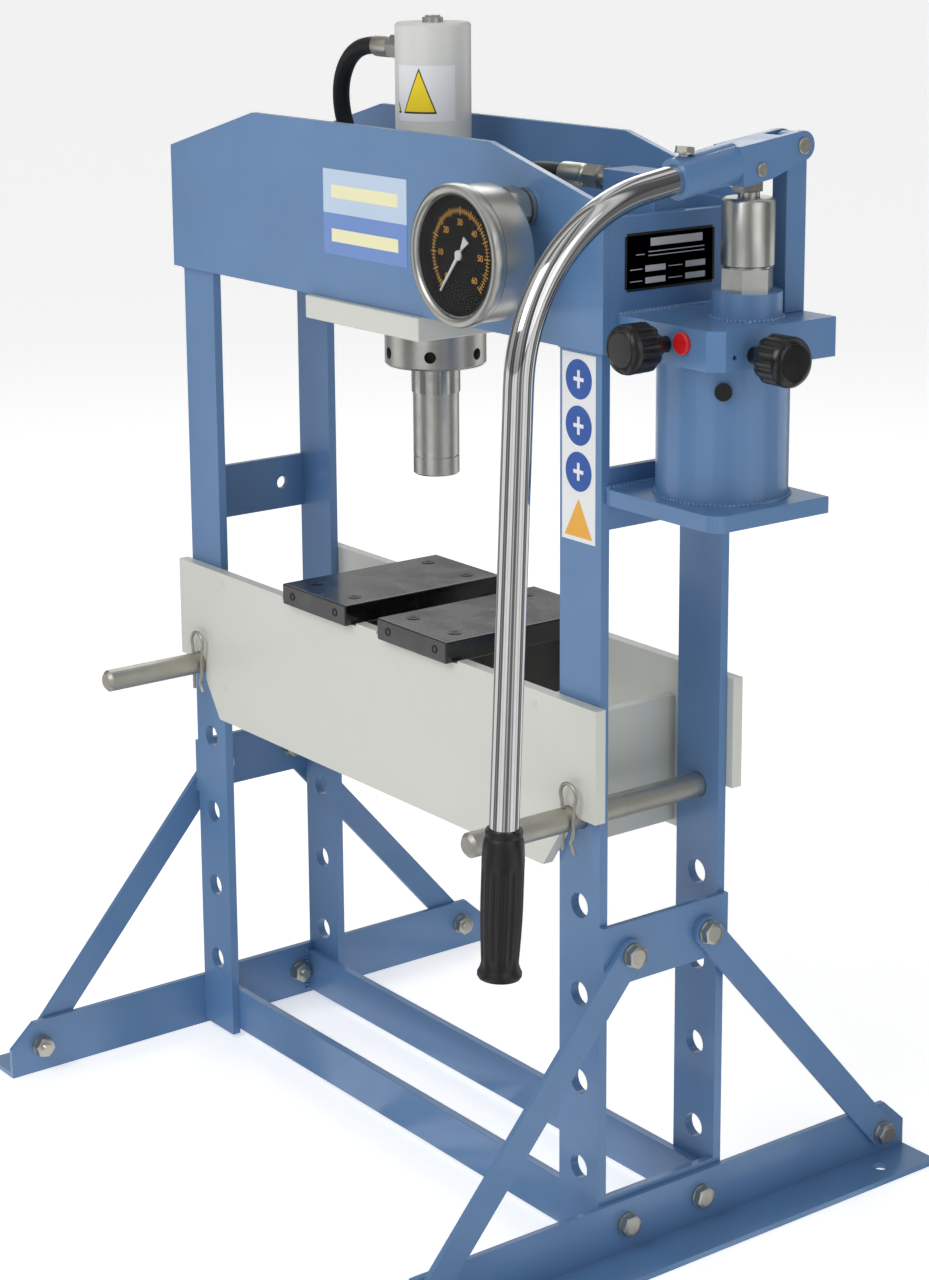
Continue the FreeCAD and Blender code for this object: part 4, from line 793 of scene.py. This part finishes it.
class PRESS_OT_hose(bpy.types.Operator):
    """The pressure hose and its crimped ends"""
    bl_idname = "press.hose"
    bl_label = "Pressure hose"

    def execute(self, context):
        data = bpy.data.curves.new("pressure_hose", "CURVE")
        data.dimensions = "3D"
        data.bevel_depth = HOSE_RADIUS * MM
        data.bevel_resolution = 8
        data.resolution_u = data.render_resolution_u = 12
        data.use_fill_caps = True
        line = data.splines.new("NURBS")
        line.points.add(len(HOSE_ROUTE) - 1)
        for point, at in zip(line.points, HOSE_ROUTE):
            point.co = (*(Vector(at) * MM), 1)
        line.use_endpoint_u = True
        line.order_u = 3
        hose = linked("pressure_hose", data)
        data.materials.append(FINISH["hose_rubber"])
        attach(hose, "frame")
        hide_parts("hose")

        def ends(work):
            for start, long, nut, wall in ((HOSE_ROUTE[0], 28, 24, -32),
                                           (HOSE_ROUTE[-1], 32, 32, 240)):
                lathe(work, [(0, 0), (8.2, 0), (9.2, 0.8), (9.4, 2), (9.4, long - 9),
                             (8.9, long - 7), (8.9, long - 4), (9.4, long - 2.5), (8.6, long),
                             (0, long)], start, X)
                hexagon(work, 9.2, nut, nut + 16, start, X, 0.3)
                reach = wall - start[0]
                drum(work, 6, nut + 15, reach, start, X)

        fittings = piece("hose_fittings", ends, "frame", "zinc", replaces=["hose_ends"])
        return {"FINISHED"}


class PRESS_OT_gauge(bpy.types.Operator):
    """Pressure gauge: case, bezel, dial with its printed scale, pointer and adapter"""
    bl_idname = "press.gauge"
    bl_label = "Pressure gauge"

    def execute(self, context):
        front, back = (corner.y for corner in span("gauge_case"))
        cx, _, cz = middle("gauge_case")
        dial_y = span("gauge_dial")[0].y

        def case(work):
            deep = back - front
            lathe(work, [(0, 0), (49, 0), (52, 1.2), (53, 4), (53, deep - 12.4), (52.2, deep - 12),
                         (52.2, deep - 11), (54.4, deep - 10.2), (55, deep - 8),
                         (55, deep - 3.2), (54, deep - 1), (51.8, deep), (49.6, deep - 0.2),
                         (46.4, deep - 2.6), (45.8, deep - 3.8), (48.3, deep - 3.9), (48.3, 5),
                         (0, 5)],
                  (cx, back, cz), -Y, 96)

        piece("gauge_shell", case, "frame", "gauge_steel", replaces=["gauge_case"])

        def face(work):
            drum(work, 48.3, 0, 0.8, (cx, dial_y + 0.9, cz), -Y, 96)
            lathe(work, [(42.5, 0), (48.3, 0), (48.3, 6.4), (47.6, 6.4), (42.5, 0.6)],
                  (cx, dial_y + 0.05, cz), -Y, 96, ring=True)
            lathe(work, [(0, 0), (2.2, 0), (1.8, 1.6), (0, 1.8)], (cx, dial_y, cz), -Y, 24)

        piece("gauge_face", face, "frame", "dial_face", ["dial_black"], ["gauge_dial"])

        def tick(length, width, reach):
            return built("tick", lambda work: block(work, (-width / 2, -0.3, reach - length),
                                                    (width / 2, 0, reach)))

        top = dial_y + 0.05
        count = sizes().tick_count

        def on_scale(part):
            """The angle at a part, 0 to 1, of the scale's three quarters of a turn."""
            return radians(-135 + 270 * part)

        spots = [((cx, top, cz), (0, on_scale(i / (count - 1)), 0)) for i in range(count)]
        for name, where, item in (("scale_fine", spots, tick(4.2, 0.5, 36.0)),
                                  ("scale_main", spots[::5], tick(6.4, 0.9, 37.0))):
            scattered(name, where, item, "frame", "dial_face", "print_scale")

        def band(work):
            inner, outer, steps = 33.5, 34.1, 90
            for i in range(steps):
                a0, a1 = on_scale(i / steps), on_scale((i + 1) / steps)
                work.faces.new([work.verts.new(Vector((cx + r * sin(a), top - 0.3,
                                                       cz + r * cos(a))) * MM)
                                for r, a in ((inner, a0), (outer, a0), (outer, a1), (inner, a1))])

        piece("scale_bands", band, "frame", "dial_face", ["print_scale"], smooth=False)
        reach = 25.0
        for n in range(7):
            angle = on_scale(n / 6)
            self.number(f"dial_number_{n}", str(10 * n), cx + reach * sin(angle), top - 0.3,
                        cz + reach * cos(angle))

        joint = next(j for j in FRAME["joints"] if j["name"] == "pointer_turn")
        py = joint["pos_m"][1] / MM
        aim = radians(-142)

        def pointer(work):
            turn = Matrix.Rotation(aim, 3, "Y")
            thick = 0.5
            for shape in (((-1.5, 0), (1.5, 0), (0.7, 37), (-0.7, 37)),
                          ((-0.9, -7), (0.9, -7), (0.9, 0), (-0.9, 0)),
                          ((-3.6, -16), (3.6, -16), (0.9, -6), (-0.9, -6))):
                rims = [[work.verts.new((turn @ Vector((x, dy, z)) + Vector((cx, py, cz))) * MM)
                         for x, z in shape] for dy in (thick, -thick)]
                work.faces.new(rims[0])
                work.faces.new(list(reversed(rims[1])))
                for i in range(4):
                    j = (i + 1) % 4
                    work.faces.new([rims[0][j], rims[0][i], rims[1][i], rims[1][j]])
            lathe(work, [(0, 0), (4, 0), (4, 1.2), (3.2, 1.8), (0, 1.8)], (cx, py + 0.6, cz), -Y,
                  32)

        piece("gauge_needle", pointer, "pointer", "pointer_paint", ["print_white"],
              ["gauge_pointer"])
        refinish("gauge_lens", "glass")
        px, pz = 215.0, 850.0

        def fittings(work):
            hexagon(work, 15.2, 11, 22, (px, back, pz), Y, 0.26)
            drum(work, 9.5, 0, 12, (px, back, pz), Y, 40, 1)
            lathe(work, [(0, 18), (10.6, 18), (10.6, 28), (7, 28), (7, 50), (0, 50)],
                  (px, back, pz), Y, 40)
            hexagon(work, 10.4, 34.2, 42, (px, back, pz), Y, 0.1)
            lathe(work, [(0, 0), (15.5, 0), (15.5, 3), (14.5, 3.6), (0, 3.6)],
                  (px, back + 24.2, pz), Y, 40)

        piece("gauge_fittings", fittings, "frame", "zinc", ["zinc", "brass"])
        return {"FINISHED"}

    def number(self, name, word, x, y, z):
        """One printed number of the dial, 7 mm high, as a thin mesh."""
        text = bpy.data.curves.new(name, "FONT")
        text.body = word
        text.size = 7.0 * MM
        text.align_x, text.align_y = "CENTER", "CENTER"
        text.extrude = 0.05 * MM
        holder = linked(name, text)
        mesh = bpy.data.meshes.new_from_object(
            holder.evaluated_get(bpy.context.evaluated_depsgraph_get()))
        bpy.data.objects.remove(holder)
        mesh.transform(Matrix.Translation(Vector((x, y, z)) * MM)
                       @ Matrix.Rotation(radians(90), 4, "X"))
        piece(name, mesh, "frame", "dial_face", ["print_scale"], smooth=False)


# ------------------------------------------------------------------ pump and lever
def scallop(count, depth):
    """A radius factor with round flutes about the axis."""
    return lambda angle, height: 1 - depth * abs(sin(count * angle / 2)) ** 3


class PRESS_OT_pump(bpy.types.Operator):
    """Pump barrel, plunger, valve knobs and plugs"""
    bl_idname = "press.pump"
    bl_label = "Pump"

    def execute(self, context):
        px, py, _ = middle("pump_barrel")
        foot, collar = span("pump_barrel")[0].z, span("pump_block")[1].z

        def barrel(work):
            lathe(work, [(0, 0), (15.8, 0), (15.8, 40), (8.2, 40), (0, 40)], (px, py, foot))
            hexagon(work, 17.4, collar, 814, (px, py, 0), Z, 0.1, top=False)
            lathe(work, [(17.0, 813), (17.0, 815), (20, 816.5), (20, 863.4), (19.3, 864.6),
                         (17.6, 866), (8.6, 866), (8.6, 812)], (px, py, 0), Z, 64, ring=True)

        piece("barrel_skin", barrel, "frame", "pump_steel", ["barrel_steel"], ["pump_barrel"])
        copied("pump_plunger", "ram_steel", slot="polished_steel")
        knob_long = 33

        def knob(work, at, way):
            shape = scallop(sizes().ridge_count, 0.09)
            drum(work, 9, 0, 4, at, way, 40)
            lathe(work, [(0, 3), (13.5, 3), (16.6, 4.6), (18.6, 8), (19, 12), (19, 26), (0, 26)],
                  at, way, 180, shape)
            lathe(work, [(0, 25.9), (18.9, 25.9), (18.4, 28.6), (16.8, 31.2), (14.2, 32.6),
                         (13.2, 32.0), (12.8, 32.4), (0, knob_long)], at, way, 90)

        for node, body, axis in (("release_knob", "release_valve", -Y),
                                 ("valve_knob", "shutoff_valve", X)):
            (k_low, k_high), mid = span(node), middle(node)
            tip = Vector((k_high.x, mid.y, mid.z)) if axis.x else Vector((mid.x, k_low.y, mid.z))
            start, stem = tip - axis * knob_long, tip - axis * (knob_long + 12)
            piece(node + "_grip", lambda work: knob(work, start, axis), body, "knob_plastic",
                  replaces=[node])
            piece(node + "_stem", lambda work: lathe(
                work, [(0, -6), (5.9, -6), (5.9, 8), (8.5, 8), (8.5, 12.6), (0, 12.6)], stem, axis,
                32), body, "knob_plastic")

        v_low, v_high = span("vent_plug")
        v = ((v_low.x + v_high.x) / 2, v_high.y - 10, (v_low.z + v_high.z) / 2)
        rim = (v_high.x - v_low.x) / 2

        def vent(work):
            lathe(work, [(0, 0), (4, 0), (4, 0.2), (rim, 0.2), (rim, 2.6), (rim - 0.9, 3.6),
                         (0, 3.8)], v, -Y, 60, scallop(14, 0.05))
            block(work, (v[0] - 6, v[1] - 4.4, v[2] - 0.8), (v[0] + 6, v[1] - 3.5, v[2] + 0.8))

        piece("vent_cap", vent, "frame", "red_plastic", replaces=["vent_plug"])
        refinish("drain_plug", "knob_plastic")
        return {"FINISHED"}


class PRESS_OT_lever(bpy.types.Operator):
    """Lever tube, ribbed grip, set bolt and pins"""
    bl_idname = "press.lever"
    bl_label = "Lever"

    def execute(self, context):
        pivot, tilt, lean = Vector((375, 52, 902)), radians(9), radians(2.5)
        bend_start, bend_r = 143, 137
        along = Vector((0, -cos(tilt), -sin(tilt)))
        under = Vector((0, sin(tilt), -cos(tilt)))
        down = Vector((0, -sin(lean), -cos(lean)))
        centre = pivot + along * bend_start + under * bend_r
        path = [pivot + along * 66]
        steps, sweep_angle = 24, pi / 2 - lean - tilt
        for i in range(steps + 1):
            angle = tilt + sweep_angle * i / steps
            path.append(centre + Vector((0, -sin(angle), cos(angle))) * bend_r)
        path.append(path[-1] + down * ((path[-1].z - span("lever_tube")[0].z) / -down.z))
        piece("lever_bar", lambda work: sweep(work, path, 11, 72), "lever", "polished_steel",
              ["chrome"], ["lever_tube"])
        low, high = span("lever_grip")
        foot = Vector(((low.x + high.x) / 2, low.y + 16.5, low.z + 0.7))
        count, long = sizes().rib_count, (high.z - low.z) / cos(lean) - 1.4
        end_deep = 104

        def rubber(work):
            def ribs(angle, height):
                inside = min(1.0, max(0.0, (height - 14) / 4))
                inside *= min(1.0, max(0.0, (long - 26 - height) / 5))
                return 1 - 0.05 * inside * abs(sin(count * angle / 2)) ** 2
            rings = [(0, 0.6), (12, 0), (15.4, 0.8), (16.5, 2.6), (16.5, 5), (15.0, 8), (13.9, 12)]
            rings += [(13.9 + 1.9 * sin(pi * 0.5 * min(1, (h - 12) / 50)), h)
                      for h in range(16, int(long) - 22, 3)]
            rings += [(15.6, long - 20), (15.2, long - 12), (14.2, long - 7), (13.4, long - 5.6),
                      (13.7, long - 4), (13.9, long - 2), (13.2, long), (11.05, long),
                      (11.05, end_deep), (0, end_deep)]
            lathe(work, rings, foot, -down, 192, ribs)

        piece("grip_sleeve", rubber, "lever", "grip_rubber", replaces=["lever_grip"])
        out = Matrix.Rotation(-tilt, 3, "X") @ Z
        seat = middle("lever_set_bolt")

        def set_bolt(work):
            lathe(work, [(0, -3), (4, -3), (4, 0), (7.4, 0), (7.4, 1.2), (0, 1.2)], seat, out, 32)
            hexagon(work, 6.4, 0.2, 5.6, seat, out, 0.5)

        piece("set_bolt", set_bolt, "lever", "zinc", replaces=["lever_set_bolt"])

        for node, radius in (("lever_pivot_pin", 6.2), ("plunger_pin", 5.2)):
            (p_low, p_high), mid = span(node), middle(node)

            def pin(work):
                half = (p_high.x - p_low.x) / 2
                shaft = radius - 1.2
                for way in (X, -X):
                    lathe(work, [(0, 0), (shaft, 0), (shaft, half - 2), (radius, half - 2),
                                 (radius, half - 0.8), (radius - 1, half), (1.6, half),
                                 (1.2, half - 0.4), (0, half - 0.4)], mid, way, 32)

            piece(node + "_skin", pin, "lever", "zinc", replaces=[node])
        return {"FINISHED"}


class PRESS_OT_pins(bpy.types.Operator):
    """The bed's support pins and their spring clips"""
    bl_idname = "press.pins"
    bl_label = "Pins and clips"

    def execute(self, context):
        for side in ("left", "right"):
            copied(f"support_pin_{side}", "pin_zinc", 0.5 * MM, "polished_steel")
            low, high = span(f"pin_clip_{side}")
            x, y, z = low.x + 1.75, (low.y + high.y) / 2, low.z + 24
            eye_r = 9.6
            wire = [(0, 0, -24), (0, 0, -8), (0, 0, 8), (-0.6, 0, 13)]
            wire += [(6.4 + eye_r * cos(radians(a)), 0.4,
                      22 + eye_r * sin(radians(a))) for a in range(212, -32, -12)]
            wire += [(13.4, 0.4, 12), (12.3, 0.4, 6), (12.2, 0.4, 0), (12.6, 0.4, -6),
                     (11.6, 0.4, -12), (9.6, 0.4, -16), (11.0, 0.4, -20), (14.4, 0.4, -25)]
            path = smooth_path([(x + a, y + b, z + c) for a, b, c in wire])
            piece(f"clip_wire_{side}", lambda work: sweep(work, path, 1.6, 12), f"clip_{side}",
                  "zinc", replaces=[f"pin_clip_{side}"])
        return {"FINISHED"}


def smooth_path(points, steps=4):
    """Catmull-Rom points through a list of points."""
    points = [Vector(p) for p in points]
    ext = [points[0] * 2 - points[1], *points, points[-1] * 2 - points[-2]]
    path = []
    for a, b, c, d in zip(ext, ext[1:], ext[2:], ext[3:]):
        for k in range(steps):
            t = k / steps
            path.append(0.5 * (2 * b + (c - a) * t + (2 * a - 5 * b + 4 * c - d) * t * t
                               + (3 * b - a - 3 * c + d) * t * t * t))
    return path + [points[-1]]


# ------------------------------------------------------------------ labels
def label(name, boxes):
    """Flat stickers: each is (lower corner, upper corner, material), as thin plates."""
    finishes = sorted({finish for _, _, finish in boxes})

    def fill(work):
        for low, high, finish in boxes:
            block(work, low, high, finishes.index(finish))

    piece(name, fill, "frame", "frame_paint", finishes, smooth=False)


class PRESS_OT_labels(bpy.types.Operator):
    """Plain stickers with no words: badge, rating plate, sign strip and cylinder label"""
    bl_idname = "press.labels"
    bl_label = "Labels"

    def execute(self, context):
        t = sizes().decal / MM
        face = span("beam_plate_front")[0].y
        label("badge", [((-60, face - t, 821), (60, face, 858), "label_pale"),
                        ((-60, face - t, 786), (60, face, 821), "label_blue"),
                        ((-48, face - 1.5 * t, 834), (48, face - t, 845), "label_cream"),
                        ((-48, face - 1.5 * t, 797), (48, face - t, 808), "label_cream")])
        side = span("pump_bracket")[1].x
        rows = [((side, -49, 793), (side + t, 36.5, 837), "label_black"),
                ((side, -51, 795), (side + t, 38.5, 835), "label_black"),
                ((side + t, -26, 826), (side + 1.5 * t, 26, 832), "label_silver")]
        rows += [((side + t, y, z), (side + 1.5 * t, y + w, z + 0.7), "label_silver")
                 for y, w, z in ((-40, 8, 820), (-28, 56, 821.5), (-28, 56, 818.5),
                                 (-46, 12, 809), (-46, 12, 800), (-8, 14, 809), (-8, 14, 800))]
        rows += [((side + t, y, z), (side + 1.5 * t, y + 20, z + 4.6), "label_silver")
                 for z in (798, 807) for y in (-31, 9)]
        label("rating_plate", rows)
        face = span("upright_front_right")[0].y
        cx = 273.0
        label("sign_strip", [((253, face - t, 597), (293, face, 744), "label_white")])

        def signs(work):
            for z in (724, 688, 652):
                drum(work, 15.5, 0, t, (cx, face - t, z), -Y, 48)
                block(work, (cx - 6, face - 2.5 * t, z - 1.5), (cx + 6, face - 2 * t, z + 1.5), 1)
                block(work, (cx - 1.5, face - 2.6 * t, z - 7), (cx + 1.5, face - 2.1 * t, z + 7), 1)
            corners = [(cx - 16.5, 600.5), (cx + 16.5, 600.5), (cx, 630.5)]
            rim = [[work.verts.new(Vector((x, face - (1 + k) * t, z)) * MM) for x, z in corners]
                   for k in (0, 1)]
            work.faces.new(rim[1]).material_index = 2
            for k in range(3):
                work.faces.new([rim[0][k], rim[0][k - 1], rim[1][k - 1],
                                rim[1][k]]).material_index = 2

        mesh = built("sign_discs", signs)
        mesh.shade_flat()
        piece("sign_discs", mesh, "frame", "frame_paint",
              ["label_sign", "label_white", "label_amber"], smooth=False)
        low, high = span("cylinder")
        mid, r = (low + high) / 2, (high.x - low.x) / 2

        def wrap(work):
            def spot(angle, z, lift):
                a = radians(angle)
                return work.verts.new(Vector((mid.x + (r + lift) * cos(a),
                                              mid.y + (r + lift) * sin(a), z)) * MM)

            def patch(sides, lift, index):
                """A curved sheet between two heights at each angle."""
                grid = [[spot(a, z, lift) for z in heights] for a, heights in sides]
                for left, right in zip(grid, grid[1:]):
                    work.faces.new([left[0], right[0], right[1], left[1]]).material_index = index

            left = -98
            patch([(left + 4 * k, (899, 945)) for k in range(25)], 0.15, 0)
            for centre in (-58, -118):
                for wide, base, peak, lift, index in ((27, 905.5, 943, 0.25, 2),
                                                      (24, 907, 940.5, 0.35, 1)):
                    slope = (peak - base) / wide
                    turn = [centre + wide * k / 12 for k in range(-12, 13)]
                    patch([(a, (base, max(base + 0.05, peak - slope * abs(a - centre))))
                           for a in turn if a >= left], lift, index)

        piece("cylinder_label", wrap, "frame", "cylinder_paint",
              ["label_white", "label_yellow", "label_black"])
        return {"FINISHED"}


# ------------------------------------------------------------------ stage
def studio_world():
    """White to the camera; to the object, a soft sky with darker upright bands for the metal."""
    world = bpy.data.worlds.new("surround")
    world.use_nodes = True
    tree = world.node_tree
    seen = tree.nodes["Background"]
    seen.inputs[0].default_value = (1, 1, 1, 1)
    felt = tree.nodes.new("ShaderNodeBackground")
    sky = tree.nodes.new("ShaderNodeTexCoord").outputs["Generated"]
    bands, parts = streaks(tree, sky, 0.18, 1.05)
    light = calc(tree, "MULTIPLY", bands, spread(tree, parts.outputs[2], -0.2, 0.9, 0.42, 1.0))
    tree.links.new(light, felt.inputs["Strength"])
    by_ray(tree, "Is Camera Ray", felt, seen, tree.nodes["World Output"])
    return world


def by_ray(tree, ray, otherwise, seen, end):
    """Shows one shader to a kind of ray and another to the rest."""
    mix = tree.nodes.new("ShaderNodeMixShader")
    tree.links.new(tree.nodes.new("ShaderNodeLightPath").outputs[ray], mix.inputs[0])
    tree.links.new(otherwise.outputs[0], mix.inputs[1])
    tree.links.new(seen.outputs[0], mix.inputs[2])
    tree.links.new(mix.outputs[0], end.inputs[0])


def streaks(tree, source, low, high):
    """Upright light and dark bands round the object, for bright metal to mirror."""
    parts = tree.nodes.new("ShaderNodeSeparateXYZ")
    tree.links.new(source, parts.inputs[0])
    around = calc(tree, "ARCTAN2", parts.outputs[1], parts.outputs[0])
    broad = calc(tree, "SINE", calc(tree, "MULTIPLY_ADD", around, 5.0, 0.8))
    fine = calc(tree, "MULTIPLY", calc(tree, "SINE", calc(tree, "MULTIPLY", around, 17.0)), 0.7)
    return spread(tree, calc(tree, "ADD", broad, fine), -0.6, 0.6, low, high), parts


def studio_floor():
    """A pale floor, which bright metal mirrors as bands."""
    material, tree, shader = start_material(
        "floor", Base_Color=(0.9, 0.9, 0.9, 1), Roughness=0.8, Emission_Color=(1, 1, 1, 1),
        Emission_Strength=0.5)
    place = tree.nodes.new("ShaderNodeNewGeometry").outputs["Position"]
    glow = tree.nodes.new("ShaderNodeEmission")
    tree.links.new(streaks(tree, place, 0.16, 1.0)[0], glow.inputs["Strength"])
    by_ray(tree, "Is Glossy Ray", shader, glow, tree.nodes["Material Output"])
    return material


class PRESS_OT_stage(bpy.types.Operator):
    """Camera, plain pale floor, soft lights and a bright surround"""
    bl_idname = "press.stage"
    bl_label = "Stage"

    def execute(self, context):
        scene = bpy.context.scene
        azimuth, pitch, roll = (radians(v) for v in (53.481, 12.625, -0.491))
        back = Vector((sin(azimuth) * cos(pitch), -cos(azimuth) * cos(pitch),
                       sin(pitch)))
        right = Vector((cos(azimuth), sin(azimuth), 0))
        up = back.cross(right)
        turned_right = right * cos(roll) + up * sin(roll)
        turned_up = up * cos(roll) - right * sin(roll)
        lens = bpy.data.cameras.new("camera")
        lens.sensor_width = 36
        lens.lens = 77.0495625
        lens.shift_x, lens.shift_y = 0.0171875, -0.126015625
        lens.clip_start, lens.clip_end = 0.05, 200
        camera = linked("camera", lens)
        camera.matrix_world = Matrix.Translation((1.8565, -1.3685, 1.1061)) @ Matrix(
            (turned_right, turned_up, back)).transposed().to_4x4()
        scene.camera = camera
        floor = bpy.data.meshes.new("floor")
        wide = 60
        floor.from_pydata([(-wide, -wide, 0), (wide, -wide, 0), (wide, wide, 0), (-wide, wide, 0)],
                          [], [(0, 1, 2, 3)])
        ground = linked("floor", floor)
        floor.materials.append(studio_floor())
        scene.world = studio_world()
        for name, at, aim, size, power in (
                ("key", (0.4, -2.6, 2.6), (0, 0, 0.6), 1.8, 36),
                ("fill", (2.8, -0.2, 1.6), (0, 0, 0.6), 1.6, 8),
                ("back", (-2.0, 1.6, 2.4), (0, 0, 0.6), 1.6, 14)):
            lamp = bpy.data.lights.new(name, "AREA")
            lamp.size, lamp.energy = size, power
            holder = linked(name, lamp)
            place = Vector(at)
            holder.matrix_world = (Matrix.Translation(place) @ (place - Vector(aim)).to_track_quat(
                "Z", "Y").to_matrix().to_4x4())
        scene.view_settings.view_transform = "Standard"
        return {"FINISHED"}


class PRESS_PT_panel(bpy.types.Panel):
    """Lists the press's pieces, sizes and colours"""
    bl_idname = "PRESS_PT_panel"
    bl_label = "Shop press"
    bl_space_type = "VIEW_3D"
    bl_region_type = "UI"
    bl_category = "Shop press"

    def draw(self, context):
        for settings in (context.scene.press_sizes, context.scene.press_colours):
            for label_ in settings.bl_rna.properties.keys():
                if label_ not in ("rna_type", "name"):
                    self.layout.prop(settings, label_)
        for maker in MAKERS:
            self.layout.operator(maker.bl_idname)


MAKERS = (PRESS_OT_stage, PRESS_OT_hose, PRESS_OT_frame, PRESS_OT_welds, PRESS_OT_fasteners,
          PRESS_OT_bed, PRESS_OT_blocks, PRESS_OT_ram, PRESS_OT_gauge, PRESS_OT_pump,
          PRESS_OT_lever, PRESS_OT_pins, PRESS_OT_labels)
CLASSES = (PressColours, PressSizes, *MAKERS, PRESS_PT_panel)


def register():
    """Adds the settings, operators and panel."""
    for entry in CLASSES:
        bpy.utils.register_class(entry)
    bpy.types.Scene.press_colours = bpy.props.PointerProperty(type=PressColours)
    bpy.types.Scene.press_sizes = bpy.props.PointerProperty(type=PressSizes)


def unregister():
    """Takes away what register added."""
    del bpy.types.Scene.press_sizes
    del bpy.types.Scene.press_colours
    for entry in reversed(CLASSES):
        bpy.utils.unregister_class(entry)


def main():
    """Makes the finishes and every piece."""
    register()
    make_materials()
    for maker in MAKERS:
        family, call = maker.bl_idname.split(".")
        getattr(getattr(bpy.ops, family), call)()


if __name__ == "__main__":
    main()
